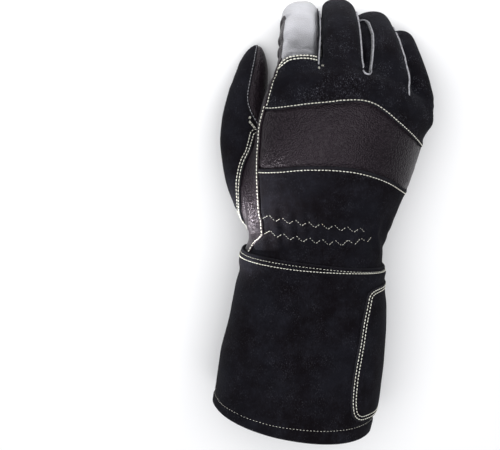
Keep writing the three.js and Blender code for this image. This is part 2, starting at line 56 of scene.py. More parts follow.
LAP = 2.7  # the hand's end lies this far inside the cuff's outer surface
FAR = 99.0  # a distance beyond all that is looked at
TINY = 1e-9

# Cuff sections: y, left, right, low, high, slope in plan, bow of both sides towards the hand
CUFF = np.array([
    (-140.0, -75.5, 34.5, -2.0, 87.0, -0.17, 6.0),
    (-126.0, -73.5, 37.6, -2.0, 87.0, -0.17, 6.0),
    (-100.0, -69.5, 40.4, -1.5, 86.5, -0.155, 4.0),
    (-75.0, -64.0, 41.8, -1.0, 85.5, -0.14, 2.0),
    (-50.0, -60.0, 42.3, 0.5, 84.0, -0.13, 1.0),
    (-36.0, -57.0, 41.5, 2.0, 83.0, -0.115, 0.0),
    (-30.0, -57.5, 43.5, 2.5, 83.5, -0.115, 0.0),
    (-23.5, -55.5, 43.0, 4.0, 82.5, -0.115, 0.0),
])
CUFF_LAPPED = 5  # from this section on the cuff lies over the hand

# Hand sections: y, left, right, low, high, drop of the left and the right side, slope, bows
HAND = np.array([
    (-16.0, -50.0, 40.4, 11.0, 78.0, 0.0, 0.0, -0.1, 0.0, 0.0),
    (-5.0, -48.5, 43.1, 15.0, 79.0, 0.0, 2.0, -0.06, 0.0, 0.0),
    (10.0, -50.0, 50.4, 19.0, 82.0, 1.0, 7.0, -0.03, 0.0, 0.0),
    (27.0, -49.0, 58.2, 24.0, 84.5, 2.0, 12.0, 0.0, 0.0, 0.0),
    (45.0, -47.5, 63.6, 30.0, 86.0, 3.0, 17.0, 0.0, 0.0, 0.0),
    (63.0, -45.0, 68.2, 36.0, 86.0, 4.0, 21.0, 0.0, 0.0, -4.0),
    (80.0, -42.0, 73.6, 42.0, 84.0, 5.0, 23.0, 0.0, -1.0, -10.0),
    (93.0, -38.5, 72.0, 46.0, 81.0, 5.0, 23.0, 0.0, -3.0, -17.0),
    (102.0, -35.0, 66.0, 51.0, 76.0, 5.0, 21.0, 0.0, -5.0, -22.0),
    (105.5, -29.0, 58.0, 56.0, 70.0, 4.0, 17.0, 0.0, -5.0, -23.0),
])
HAND_SQUARE = 2.45

# Fingers: start inside the knuckles, heading in plan, length, pitch at both ends, sizes at both ends,
# how much longer the little finger's side is, and how square that side's corner is
FINGERS = {
    "index": dict(x=-20, y=84, z=64, heading=5.3, length=90, start=12, end=84,
                  wide=(29, 26), deep=(28, 25.5), slant=2.4, corner=7.0),
    "middle": dict(x=11, y=85, z=66, heading=0, length=92, start=14, end=84,
                   wide=(29, 24.8), deep=(28, 26), slant=0.0, corner=2.3),
    "ring": dict(x=46, y=82, z=60, heading=-12.3, length=85.5, start=14, end=84,
                 wide=(28, 26.5), deep=(27, 25), slant=-1.6, corner=2.3),
    "little": dict(x=65.4, y=71, z=41, heading=-13.6, length=69.5, start=2, end=66,
                   wide=(26.5, 23.5), deep=(25, 23), slant=0.0, corner=2.3),
}
FINGER_SQUARE = 2.4
TIP_POWER = 2.3
TIP_CORNER = (-0.1, 0.6)  # across a finger, where its tip turns into the little finger's side corner
BASE_WIDTH = 0.62
BASE_LENGTH = 12.0

# Thumb stations: x, y, z, width, depth; its tip tapers over THUMB_TIP
THUMB = np.array([
    (-34.0, -4.0, 42.0, 22.0, 40.0),
    (-41.5, 12.0, 40.0, 34.0, 46.0),
    (-47.5, 30.0, 36.0, 37.0, 44.0),
    (-52.0, 48.0, 31.0, 35.0, 38.0),
    (-54.0, 66.0, 25.0, 32.0, 33.0),
    (-51.6, 84.0, 19.0, 27.6, 29.0),
    (-48.2, 100.0, 13.0, 21.6, 26.0),
])
THUMB_SQUARE = 2.2
THUMB_TIP = 25.5
THUMB_POWER = 1.65
THUMB_BEFORE = 12  # the middle line runs on straight by this much at its base
THUMB_BEYOND = 40  # and by this much past its last station
BASE_TAPER = 8.0  # length that a finger's or the thumb's hidden base tapers over

# The back of the hand: y, x of its seam beside the thumb, heights of the dividing surface
BACK_EDGE = np.array([
    (-60.0, -52.0, 56.0, 50.0, 41.0),
    (-17.0, -49.5, 56.0, 50.0, 41.0),
    (-10.5, -45.7, 56.0, 50.0, 40.0),
    (-5.9, -41.2, 56.0, 50.0, 40.0),
    (2.2, -41.2, 56.0, 50.0, 38.0),
    (12.2, -42.8, 58.0, 50.0, 36.0),
    (25.0, -43.8, 60.0, 51.0, 34.0),
    (41.0, -44.4, 62.0, 54.0, 32.0),
    (57.0, -43.7, 63.0, 57.0, 31.0),
    (70.0, -42.4, 64.0, 59.0, 30.0),
    (80.5, -39.7, 64.0, 60.0, 30.0),
    (89.0, -37.4, 64.0, 61.0, 32.0),
    (97.5, -34.7, 64.0, 61.0, 32.0),
    (105.0, -31.6, 64.0, 61.0, 34.0),
    (112.0, -29.0, 64.0, 61.0, 36.0),
])
BACK_MIDDLE_X = 30.0
BACK_RIGHT_X = 90.0
BACK_END_Y = 118.0

# Panel edges in plan, x and y, over the back of the hand
BAND_TOP = [(-70, 79), (-37, 78.6), (-24, 80), (-12, 81.6), (0, 82.8), (12, 84.1), (24, 83.8), (31, 81.4),
            (38, 76.9), (46, 70.4), (55, 62.8), (66, 52.5), (84, 36)]
BAND_LOW = [(-70, 39.4), (-42, 39.5), (-30, 40.5), (-18, 42), (-6, 42.4), (6, 42.1), (18, 40.8), (30, 37.6),
            (43, 32.1), (53, 25.4), (84, 1)]
INDEX_LOW = [(-60, 84), (-40, 92), (-36, 99), (-31, 106.5), (-26, 111.5), (-20, 113.4), (-12, 113.8),
             (-5, 112.6), (20, 112)]
INDEX_LOW_END_X = -5.0

# Outlines in plan, each a list of smooth stretches that meet at corners
THUMB_PALM_OUTLINE = [
    [(-60, -14), (-31.8, -3), (-20, 1.5), (-13, 8.3), (-8, 17), (-5.7, 26), (-4.6, 37), (-4.8, 48.2),
     (-8.4, 64), (-14.5, 74)],
    [(-14.5, 74), (-18.5, 64), (-24, 56.5), (-30, 54), (-37, 60), (-38, 75), (-34, 140)],
    [(-34, 140), (-100, 140)],
    [(-100, 140), (-100, -14)],
    [(-100, -14), (-60, -14)],
]
THUMB_BACK_OUTLINE = [
    [(-100, 75), (-50, 75)],
    [(-50, 75), (-46.5, 66), (-46.8, 60), (-49.2, 51), (-53.6, 42), (-55.8, 32.4), (-56.4, 21.4), (-55.6, 10),
     (-54, -40)],
    [(-54, -40), (-100, -40)],
    [(-100, -40), (-100, 75)],
]
# Height where the thumb's outline on the palm side turns into the one on the back: y, height, half range
THUMB_SPLIT = np.array([(-60, 40, 9), (30, 40, 9), (58, 43.5, 1.2), (150, 43.5, 1.2)], float)
# Where the thumb stands free of the palm all of it is thumb
THUMB_FREE_Y = 57.0
THUMB_FREE_TOP_Z = 34.0
THUMB_FREE_RIGHT_X = -35.0
THUMB_END_ROUND = 9.0
# The thumb panel's end at the wrist: height, y
THUMB_END = np.array([(0, -9), (24, -10), (34, -9), (42, -5), (50, 0), (58, 8), (66, 16)], float)
# Edge of the suede on the thumb: y, x towards the fingers, z on the outer side
THUMB_SUEDE = np.array([
    (-60, -30, 34), (12, -34, 32), (30, -38, 27), (60, -40, 19), (69.5, -45.8, 17), (76, -48.9, 15.5),
    (84, -50.8, 14), (93, -49.7, 12), (100, -48.3, 10.5), (108, -46.6, 9), (130, -43, 6),
], float)
HEEL_OUTLINE = [
    [(90, 58), (68, 58), (64.5, 66), (58.5, 64.5), (51, 55.5), (43.5, 49), (35, 43), (25.5, 40.5), (16, 39),
     (9, 36.5), (2, 29.5), (-5, 21.5), (-8.5, 12.5), (-7.5, 5.5), (-2, -1.5), (5, -7.5), (16, -12.5),
     (30, -16)],
    [(30, -16), (90, -16)],
    [(90, -16), (90, 58)],
]
HEEL_TOP_Z = 33.0
CUFF_PATCH_BACK = [
    [(60, -41), (36, -40.2), (31, -41.4), (28.4, -44), (27, -50), (24.2, -64), (22, -79), (19.8, -92),
     (18.4, -101), (17.7, -112), (17.8, -121), (19.8, -127.6), (24, -130.7), (30, -131), (60, -128)],
    [(60, -128), (60, -41)],
]
CUFF_PATCH_UNDER = [
    [(60, -41), (30, -40.5), (24, -43.5), (21, -51), (18.5, -62), (16, -76), (13.5, -94), (11, -110),
     (9.5, -120), (12, -125.5), (20, -128.5), (34, -131.5), (60, -128)],
    [(60, -128), (60, -41)],
]
CUFF_MIDDLE_Z = 43.0
CUFF_PATCH_TURN = 12.0  # the patch's two outlines turn into each other within this of the middle
REST_LIFT = 1.7  # the underside is lifted by its patch from x = REST_FROM to REST_TO
REST_FROM = -2.0
REST_TO = 10.0

# Strips between two fingers: for both fingers where the strip turns, its lower edge over the middle line,
# and its upper edge at the start and further along
STRIPS = {
    "index_middle": (("index", 21, -5.5, 4.5, 4.5), ("middle", 20, -5.5, 4.5, 4.5)),
    "middle_ring": (("middle", 15, -5.5, 7.0, 7.0), ("ring", 17, -5.5, 9.6, 12.0)),
    "ring_little": (("ring", 5, -9.5, 6.5, 3.5), ("little", 14, -1.0, 6.0, 6.0)),
}
STRIP_TURN = (15, 50)  # along a finger, where a strip's upper edge turns from its first height to its last
STRIP_ACROSS = (3.0, 18.0)  # a strip lies between these distances from the finger's middle line
STRIP_ROUND_FROM = 0.55  # part of the length where a strip starts to narrow
SKIN = 0.8  # how far beyond a finger's own surface its panels are looked for
WEB_HALF = 6
WEB_SIDE = 8
WEB_ROUND = 2.5
STRIP_ROUND = 1.5
# The part of a finger's length where each strip ends
STRIP_ENDS = {"index_middle": 0.83, "middle_ring": 0.9, "ring_little": 0.83}
# The slot in the back at each strip's lower end: its middle line in plan and its half width
SLOTS = {
    "index_middle": ([(-3.6, 110.2), (-3.2, 124)], 1.9),
    "middle_ring": ([(27.1, 104.4), (28.6, 111), (29.7, 119), (30.1, 127), (28.6, 134)], 3.1),
    "ring_little": ([(55.6, 88.5), (56.8, 104)], 1.5),
}
VALLEY_START_Y = 112.0  # beside the index finger the strip fills the valley from here to the tips
VALLEY_END = 0.96  # part of the index finger's length
VALLEY_LOW = -5.5
VALLEY_SIDE = 0.86  # its sides, as a part of half the finger's width
VALLEY_WIDER = 0.3  # how much further it reaches over the index finger
# Hollows between two fingers: beside the index finger, and in the slot beside the ring finger
CREVICE_SHIFT = 0.9  # towards the middle finger
CREVICE_HALF = 1.2
CREVICE_LOW = -4.0  # its floor, over the index finger's middle line
HOLLOW_HALF = 1.5
HOLLOW_LOW = 1.5  # its floor, over the middle finger's middle line
SLOT_LOW_Z = 50.0
SLOT_SLOPE = 0.95
FINGER_SEAM = -4.0
INDEX_SEAM = 9.0  # the height of the seam on the thumb's side of the index finger
INDEX_SEAM_TURN = (-5, 3)  # across the index finger, where one height turns into the other
# Parts of a finger's length where its back starts to wrap round the tip, and where it does so fully
CAP = (0.78, 0.94)
INDEX_CAP = (0.66, 1.04)
CAP_LOW = -22.0
FINGER_BACK_START = 6.0  # length along a finger where its back joins the back of the hand
INDEX_BACK_START = 24.0


# Numbers and noise
def smoothstep(low, high, value):
    t = np.clip((value - low) / (high - low), 0, 1)
    return t * t * (3 - 2 * t)


def mix(a, b, t):
    return a + (b - a) * t


def bell(value, width):
    return np.exp(-((value / width) ** 2))


def ridge(distance, height, at, width):
    """A ridge of some height at a distance, or a groove where the height is negative."""
    return height * bell(distance - at, width)


def unit(vectors):
    return vectors / np.clip(np.linalg.norm(vectors, axis=1), TINY, None)[:, None]


def superellipse(across, up, power):
    return (np.abs(across) ** power + np.abs(up) ** power) ** (1 / power)


def blend_union(a, b, width):
    """The union of two fields, rounded where they meet."""
    t = np.clip(0.5 + 0.5 * (b - a) / width, 0, 1)
    return mix(b, a, t) - width * t * (1 - t)


# Large odd numbers that scatter a cell's place and seed
SCATTER = np.array([374761393, 668265263, 2147483647])
SCATTER_SEED = 144665
SCATTER_AGAIN = 1274126177
SEED_SHIFT = 17.3


def noise(points, size, seed=0):
    """Smooth noise from -1 to 1 with features of a size in millimetres."""
    place = points / size + SEED_SHIFT * seed
    low = np.floor(place)
    part = place - low
    part = part * part * (3 - 2 * part)
    low = low.astype(np.int64)
    total = np.zeros(points.shape[:-1])
    for corner in np.ndindex(2, 2, 2):
        mixed = ((low + np.array(corner)) * SCATTER).sum(axis=-1) + seed * SCATTER_SEED
        mixed = ((mixed ^ (mixed >> 13)) * SCATTER_AGAIN) & 0xFFFFFFFF
        value = ((mixed ^ (mixed >> 16)) & 0xFFFF) / 32767.5 - 1
        weight = np.prod(np.where(np.array(corner) == 1, part, 1 - part), axis=-1)
        total += weight * value
    return total


def smooth_table(rows, step=0.5):
    """Table rows at even steps of the first column, on a smooth curve through the given rows."""
    rows = np.array(rows, float)
    at = np.arange(rows[0, 0], rows[-1, 0] + step / 2, step)
    slopes = np.gradient(rows, rows[:, 0], axis=0)
    i = np.clip(np.searchsorted(rows[:, 0], at, side="right") - 1, 0, len(rows) - 2)
    width = (rows[i + 1, 0] - rows[i, 0])[:, None]
    t = (at - rows[i, 0])[:, None] / width
    value = (1 + 2 * t) * (1 - t) ** 2 * rows[i] + t**2 * (3 - 2 * t) * rows[i + 1]
    return value + width * (t * (1 - t) ** 2 * slopes[i] + t**2 * (t - 1) * slopes[i + 1])


def columns_at(table, at):
    """The columns after the first of a table, at places along its first column."""
    return [np.interp(at, table[:, 0], table[:, k]) for k in range(1, table.shape[1])]


def lengths_along(points):
    """The length of a line of points up to each of them."""
    return np.concatenate([[0], np.cumsum(np.linalg.norm(np.diff(points, axis=0), axis=1))])


def smooth_line(points, step=1.0):
    """A smooth curve through points in any dimension, sampled about a step apart."""
    points = np.array(points, float)
    if len(points) == 2:
        count = max(2, int(np.linalg.norm(points[1] - points[0]) / (8 * step)) + 1)
        return points[0] + np.linspace(0, 1, count)[:, None] * (points[1] - points[0])
    return smooth_table(np.column_stack([lengths_along(points), points]), step)[:, 1:]


def resample(points, step):
    """A polyline's points at even steps along it."""
    lengths = lengths_along(points[:, :3])
    count = max(2, int(lengths[-1] / step) + 1)
    at = np.linspace(0, lengths[-1], count)
    return np.column_stack([np.interp(at, lengths, points[:, k]) for k in range(points.shape[1])])


def largest(*values):
    return np.maximum.reduce(values)


# Fields of the glove's forms
def inset_cuff(rows, inset):
    """Cuff sections moved inwards, as sections of the hand."""
    y, left, right, low, high, slope, bow = rows.T
    zero = np.zeros(len(rows))
    sides = [left + inset, right - inset, low + inset, high - inset]
    return np.column_stack([y, *sides, zero, zero, slope, bow, bow])


HAND_TABLE = smooth_table(np.vstack([inset_cuff(CUFF[CUFF_LAPPED:], LAP), HAND]))
BACK_TABLE = smooth_table(BACK_EDGE)
SUEDE_TABLE = smooth_table(THUMB_SUEDE)
ROUNDS = 4  # rounds that settle which section a point lies in
ACROSS_LIMIT = 1.15  # the bows and drops of the sides grow no further than this


def section_place(points, table):
    """Places in a body that runs along Y: section, and across and up, which are 1 at its sides."""
    x, y, z = points[..., 0], points[..., 1], points[..., 2]
    at = y
    for _ in range(ROUNDS):
        left, right, low, high, drop_left, drop_right, slope, bow_left, bow_right = columns_at(table, at)
        half = (right - left) / 2
        across = (x - (left + right) / 2) / half
        side = np.clip(across, -ACROSS_LIMIT, ACROSS_LIMIT) ** 2
        at = y - slope * half * across - np.where(across > 0, bow_right, bow_left) * side
    up = (z + np.where(across > 0, drop_right, drop_left) * side - (low + high) / 2) / ((high - low) / 2)
    return at, across, up, half, (high - low) / 2


def hand_field(points):
    at, across, up, half, deep = section_place(points, HAND_TABLE)
    value = (superellipse(across, up, HAND_SQUARE) - 1) * np.minimum(half, deep)
    return np.maximum(value, np.maximum(HAND_TABLE[0, 0] - at, at - HAND_TABLE[-1, 0]))


def finger_bend(finger):
    """A finger's heading, its first pitch and the radius of its curl."""
    heading, start, end = np.radians([finger["heading"], finger["start"], finger["end"]])
    return heading, start, finger["length"] / (end - start)


def finger_place(points, finger):
    """Places in a finger's own frame: along it, across it, and up from its middle line."""
    heading, start, radius = finger_bend(finger)
    dx, dy = points[..., 0] - finger["x"], points[..., 1] - finger["y"]
    out = dx * math.sin(heading) + dy * math.cos(heading) + radius * math.sin(start)
    rise = points[..., 2] - finger["z"] + radius * math.cos(start)
    along = (np.arctan2(out, rise) - start) * radius
    return along, dx * math.cos(heading) - dy * math.sin(heading), np.hypot(out, rise) - radius


def finger_point(finger, along, across, up):
    """The point at a place in a finger's own frame."""
    heading, start, radius = finger_bend(finger)
    pitch = start + along / radius
    reach = (radius + up) * math.sin(pitch) - radius * math.sin(start)
    x = finger["x"] + reach * math.sin(heading) + across * math.cos(heading)
    y = finger["y"] + reach * math.cos(heading) - across * math.sin(heading)
    return np.array([x, y, finger["z"] + (radius + up) * math.cos(pitch) - radius * math.cos(start)])


def finger_field(points, finger):
    along, across, up = finger_place(points, finger)
    share = np.clip(along / finger["length"], 0, 1)
    wide, deep = (mix(*finger[size], share) / 2 for size in ("wide", "deep"))
    tip = finger["deep"][1] / 2
    grown = mix(BASE_WIDTH, 1, smoothstep(0, BASE_LENGTH, along))
    ring = superellipse(across / (wide * grown), up / (deep * grown), FINGER_SQUARE)
    sideways = np.clip(across / wide, -1, 1)
    length = finger["length"] + finger["slant"] * sideways
    beyond = np.clip((along - length + tip) / tip, 0, None) + np.clip(-along / BASE_TAPER, 0, None)
    power = mix(TIP_POWER, finger["corner"], smoothstep(*TIP_CORNER, sideways))
    return (superellipse(ring, beyond, power) - 1) * np.minimum(wide, deep)


def thumb_spine():
    """The thumb's middle line at every millimetre, with its directions and half sizes."""
    line = smooth_line(THUMB)
    ends = [(line[0] - line[1])[:3], (line[-1] - line[-2])[:3]]
    before = [np.append(line[0, :3] + ends[0] * k, line[0, 3:]) for k in range(THUMB_BEFORE, 0, -1)]
    after = [np.append(line[-1, :3] + ends[1] * k, line[-1, 3:]) for k in range(1, THUMB_BEYOND + 1)]
    spine = resample(np.vstack([before, line, after]), 1.0)
    forward = unit(np.gradient(spine[:, :3], axis=0))
    across = unit(np.column_stack([forward[:, 1], -forward[:, 0], np.zeros(len(spine))]))
    return np.column_stack([spine[:, :3], forward, across, np.cross(across, forward), spine[:, 3:] / 2])


SPINE = thumb_spine()
# Columns of the thumb's middle line
PLACE, FORWARD, ACROSS, UP = (slice(k, k + 3) for k in range(0, 12, 3))
HALF_WIDE, HALF_DEEP = 12, 13
THUMB_STRAIGHT = len(SPINE) - 1 - THUMB_BEYOND


def spine_at(index, count):
    """The first columns of the thumb's middle line, read between its numbered rows."""
    numbers = np.arange(len(SPINE))
    return np.stack([np.interp(index, numbers, SPINE[:, k]) for k in range(count)], axis=-1)


def thumb_place(points):
    """Places along the thumb, across it and up from its middle line, with its half sizes."""
    index = np.interp(points[..., 1], SPINE[:, 1], np.arange(len(SPINE)))
    for _ in range(ROUNDS):
        at = spine_at(index, FORWARD.stop)
        index = index + np.sum((points - at[..., PLACE]) * at[..., FORWARD], axis=-1)
        index = np.clip(index, 0, len(SPINE) - 1)
    at = spine_at(index, SPINE.shape[1])
    offset = points - at[..., PLACE]
    across, up = (np.sum(offset * at[..., way], axis=-1) for way in (ACROSS, UP))
    return index, across, up, at[..., HALF_WIDE], at[..., HALF_DEEP]


def thumb_field(points):
    index, across, up, half, deep = thumb_place(points)
    ring = superellipse(across / half, up / deep, THUMB_SQUARE)
    beyond = np.clip((index - THUMB_STRAIGHT) / THUMB_TIP, 0, None)
    beyond += np.clip((THUMB_BEFORE - index) / BASE_TAPER, 0, None)
    return (superellipse(ring, beyond, THUMB_POWER) - 1) * np.minimum(half, deep)


def rest_height(x):
    return REST_LIFT * smoothstep(REST_FROM, REST_TO, x)


# The hand's surface, found on a grid
EVENING = 0.6  # how far each round moves a point to the middle of its neighbours


class Volume:
    """A field on a grid, with its slope, that can be read between the grid's points."""

    def __init__(self, values, low):
        self.low = low
        self.values = values
        self.slope = np.stack(np.gradient(values, GRID), axis=-1)

    def read(self, points):
        """The field and its slope at points."""
        place = (points - self.low) / GRID
        base = np.clip(np.floor(place).astype(int), 0, np.array(self.values.shape) - 2)
        part = place - base
        value = np.zeros(len(points))
        slope = np.zeros((len(points), 3))
        for corner in np.ndindex(2, 2, 2):
            weight = np.prod(np.where(np.array(corner) == 1, part, 1 - part), axis=1)
            i, j, k = (base + np.array(corner)).T
            value += weight * self.values[i, j, k]
            slope += weight[:, None] * self.slope[i, j, k]
        return value, slope


LEAST_SLOPE = 0.35


def true_distance(values):
    """A field scaled so that it grows by one for each millimetre near its surface."""
    slope = np.gradient(values, GRID)
    size = np.sqrt(sum(part**2 for part in slope))
    return values / np.clip(size, LEAST_SLOPE, None)


def softened(values):
    for axis in range(3):
        before = np.roll(values, 1, axis)
        after = np.roll(values, -1, axis)
        values = (before + 2 * values + after) / 4
    return values


# The box that the grid fills, and how widely the forms blend where they join
GRID_LOW = np.array([-82.0, -39.0, -4.0])
GRID_HIGH = np.array([86.0, 154.0, 92.0])
KNUCKLE_BLEND = 7.0
CREASE_BLEND = 0.8
HOLLOW_BLEND = 1.5
THUMB_BLENDS = (9.0, 1.2)  # in the palm, and beside the index finger
THUMB_BLEND_Y = (46, 62)


def hand_volume():
    """The hand, four fingers and the thumb as one field, blended where they join."""
    axes = [np.arange(GRID_LOW[k], GRID_HIGH[k], GRID) for k in range(3)]
    points = np.stack(np.meshgrid(*axes, indexing="ij"), axis=-1)
    hand = true_distance(hand_field(points))
    whole = hand
    for finger in FINGERS.values():
        joined = blend_union(hand, true_distance(finger_field(points, finger)), KNUCKLE_BLEND)
        whole = blend_union(whole, joined, CREASE_BLEND)
    _, _, up = finger_place(points, FINGERS["index"])
    beyond = (side_gap(points, "index", 1) - side_gap(points, "middle", -1)) / 2 - CREVICE_SHIFT
    crevice = largest(np.abs(beyond) - CREVICE_HALF, CREVICE_LOW - up, VALLEY_START_Y - points[..., 1])
    whole = -blend_union(-whole, crevice, CREASE_BLEND)
    _, _, up = finger_place(points, FINGERS["middle"])
    hollow = largest(plan_distance(points, SLOTS["middle_ring"][0]) - HOLLOW_HALF, HOLLOW_LOW - up)
    whole = -blend_union(-whole, hollow, HOLLOW_BLEND)
    thumb_blend = mix(*THUMB_BLENDS, smoothstep(*THUMB_BLEND_Y, points[..., 1]))
    whole = blend_union(whole, true_distance(thumb_field(points)), thumb_blend)
    whole = softened(softened(np.maximum(whole, rest_height(points[..., 0]) - points[..., 2])))
    return Volume(whole, GRID_LOW)


def surface_nets(volume):
    """Points and four-sided faces on the zero surface of a volume."""
    values = volume.values
    inside = values < 0
    shape = np.array(values.shape) - 1
    total = np.zeros((*shape, 3))
    count = np.zeros(shape)
    crossings = []
    for axis in range(3):
        first = [slice(None)] * 3
        second = [slice(None)] * 3
        first[axis] = slice(0, -1)
        second[axis] = slice(1, None)
        start, end = values[tuple(first)], values[tuple(second)]
        crossing = inside[tuple(first)] != inside[tuple(second)]
        part = np.where(crossing, start / np.where(crossing, start - end, 1), 0)
        crossings.append(crossing)
        others = [k for k in range(3) if k != axis]
        for i, j in np.ndindex(2, 2):
            window = [slice(None)] * 3
            window[others[0]] = slice(i, i + shape[others[0]])
            window[others[1]] = slice(j, j + shape[others[1]])
            here = crossing[tuple(window)]
            count += here
            total[..., axis] += part[tuple(window)]
            total[..., others[0]] += here * i
            total[..., others[1]] += here * j
    active = count > 0
    number = np.full(shape, -1)
    number[active] = np.arange(active.sum())
    points = volume.low + GRID * (np.argwhere(active) + total[active] / count[active][:, None])
    faces = []
    for axis, crossing in enumerate(crossings):
        others = [k for k in range(3) if k != axis]
        edges = np.argwhere(crossing)
        kept = np.all((edges[:, others] > 0) & (edges[:, others] < shape[others]), axis=1)
        edges = edges[kept]
        corners = []
        for i, j in ((0, 0), (-1, 0), (-1, -1), (0, -1)):
            cell = edges.copy()
            cell[:, others[0]] += i
            cell[:, others[1]] += j
            corners.append(number[tuple(cell.T)])
        ring = np.column_stack(corners)
        turned = inside[tuple(edges.T)] == (axis == 1)
        ring[turned] = ring[turned][:, ::-1]
        faces.append(ring)
    return points, np.vstack(faces)


def settled(points, faces, volume, rounds):
    """Points evened out over the surface and put back on it."""
    pairs = np.unique(np.sort(np.vstack([faces[:, [k, (k + 1) % 4]] for k in range(4)]), axis=1), axis=0)
    near = np.bincount(pairs.ravel(), minlength=len(points))[:, None]
    for _ in range(rounds):
        total = np.zeros_like(points)
        np.add.at(total, pairs[:, 0], points[pairs[:, 1]])
        np.add.at(total, pairs[:, 1], points[pairs[:, 0]])
        points = mix(points, total / near, EVENING)
        for _ in range(2):
            value, slope = volume.read(points)
            points = points - slope * (value / np.clip(np.sum(slope**2, axis=1), 0.05, None))[:, None]
    return points


def in_triangles(points, faces):
    """Four-sided faces as triangles, split along the shorter diagonal."""
    first = np.linalg.norm(points[faces[:, 0]] - points[faces[:, 2]], axis=1)
    second = np.linalg.norm(points[faces[:, 1]] - points[faces[:, 3]], axis=1)
    short = first <= second
    one = np.where(short[:, None], faces[:, [0, 1, 2]], faces[:, [0, 1, 3]])
    two = np.where(short[:, None], faces[:, [0, 2, 3]], faces[:, [1, 2, 3]])
    return np.vstack([one, two])


def vertex_normals(points, faces):
    normal = np.cross(points[faces[:, 1]] - points[faces[:, 0]], points[faces[:, 2]] - points[faces[:, 0]])
    total = np.zeros_like(points)
    for k in range(3):
        np.add.at(total, faces[:, k], normal)
    return unit(total)


class Surface:
    """Triangles with named values at each point; the first six are the point and its normal."""

    def __init__(self, data, faces, names):
        self.data = data
        self.faces = faces
        self.names = names

    def __getitem__(self, name):
        return self.data[:, self.names.index(name)]

    @property
    def points(self):
        return self.data[:, :3]

    @property
    def normals(self):
        return unit(self.data[:, 3:6])

    def with_values(self, **values):
        data = np.column_stack([self.data, *values.values()])
        return Surface(data, self.faces, self.names + list(values))

    def moved(self, offset):
        """The surface moved along its normals, with new normals."""
        points = self.points + self.normals * offset[:, None]
        data = self.data.copy()
        data[:, :3] = points
        data[:, 3:6] = vertex_normals(points, self.faces)
        return Surface(data, self.faces, self.names)

    def zero_rows(self, ends, value):
        """Rows where value is zero between pairs of points, and the number of each pair's row."""
        size = len(self.data)
        keys, where = np.unique(np.sort(ends, axis=-1) @ np.array([size, 1]), return_inverse=True)
        low, high = keys // size, keys % size
        part = (value[low] / (value[low] - value[high]))[:, None]
        return mix(self.data[low], self.data[high], part), where.reshape(ends.shape[:-1])

    def cut(self, value):
        """The part where value is negative, cut along its zero line."""
        inside = value < 0
        count = inside[self.faces].sum(axis=1)
        mixed = self.faces[(count == 1) | (count == 2)]
        alone = inside[mixed] == (inside[mixed].sum(axis=1) == 1)[:, None]
        first = np.argmax(alone, axis=1)
        row = np.arange(len(mixed))
        a, b, c = (mixed[row, (first + k) % 3] for k in range(3))
        rows, where = self.zero_rows(np.stack([np.column_stack([a, b]), np.column_stack([a, c])]), value)
        where = where + len(self.data)
        data = np.vstack([self.data, rows])
        tip = np.column_stack([a, where[0], where[1]])
        rest = np.vstack([np.column_stack([where[0], b, c]), np.column_stack([where[0], c, where[1]])])
        tip_inside = inside[a]
        twice = np.concatenate([tip_inside, tip_inside])
        faces = np.vstack([self.faces[count == 3], tip[tip_inside], rest[~twice]])
        used, faces = np.unique(faces.ravel(), return_inverse=True)
        return Surface(data[used], faces.reshape(-1, 3), self.names)

    def contour(self, value):
        """Rows of the data along the zero lines of value, each line in order."""
        inside = value < 0
        count = inside[self.faces].sum(axis=1)
        mixed = self.faces[(count == 1) | (count == 2)]
        if not len(mixed):
            return []
        edges = np.stack([mixed[:, [k, (k + 1) % 3]] for k in range(3)], axis=1)
        crossing = inside[edges[..., 0]] != inside[edges[..., 1]]
        rows, where = self.zero_rows(edges[crossing].reshape(-1, 2, 2), value)
        return [rows[line] for line in chained(where, len(rows))]

    def border(self):
        """Directed edges that belong to one triangle only."""
        edges = np.vstack([self.faces[:, [k, (k + 1) % 3]] for k in range(3)])
        keys = np.sort(edges, axis=1) @ np.array([len(self.data), 1])
        _, where, count = np.unique(keys, return_inverse=True, return_counts=True)
        return edges[count[where] == 1]


def surface_of(points, faces):
    """A surface from its points and triangles."""
    data = np.column_stack([points, vertex_normals(points, faces)])
    return Surface(data, faces, ["x", "y", "z", "nx", "ny", "nz"])


def chained(pairs, count):
    """Lines of point numbers made from pairs of neighbours, the longest first."""
    near = [[] for _ in range(count)]
    for a, b in pairs.tolist():
        near[a].append(b)
        near[b].append(a)
    seen = np.zeros(count, bool)
    lines = []
    ends = [i for i in range(count) if len(near[i]) == 1]
    for start in ends + list(range(count)):
        if seen[start]:
            continue
        line = [start]
        seen[start] = True
        while True:
            following = [i for i in near[line[-1]] if not seen[i]]
            if not following:
                break
            line.append(following[0])
            seen[following[0]] = True
        if len(line) > 2 and line[0] in near[line[-1]]:
            line.append(line[0])
        if len(line) > 1:
            lines.append(line)
    return sorted(lines, key=len, reverse=True)


REACH = 14.0  # beyond this a distance to a line is only large
BATCH = 4000  # points compared with a line at once


def distance_to(points, lines):
    """Distance from points to the nearest of some lines, as far as REACH."""
    found = np.full(len(points), FAR)
    for line in lines:
        marks = resample(line[:, :3], 0.5)
        low, high = marks.min(axis=0) - REACH, marks.max(axis=0) + REACH
        close = np.flatnonzero(np.all((points > low) & (points < high), axis=1))
        for start in range(0, len(close), BATCH):
            some = close[start : start + BATCH]
            squares = (
                np.sum(points[some] ** 2, axis=1)[:, None]
                + np.sum(marks**2, axis=1)
                - 2 * points[some] @ marks.T
            )
            nearest = np.sqrt(np.clip(squares.min(axis=1), 0, None))
            found[some] = np.minimum(found[some], nearest)
    return found


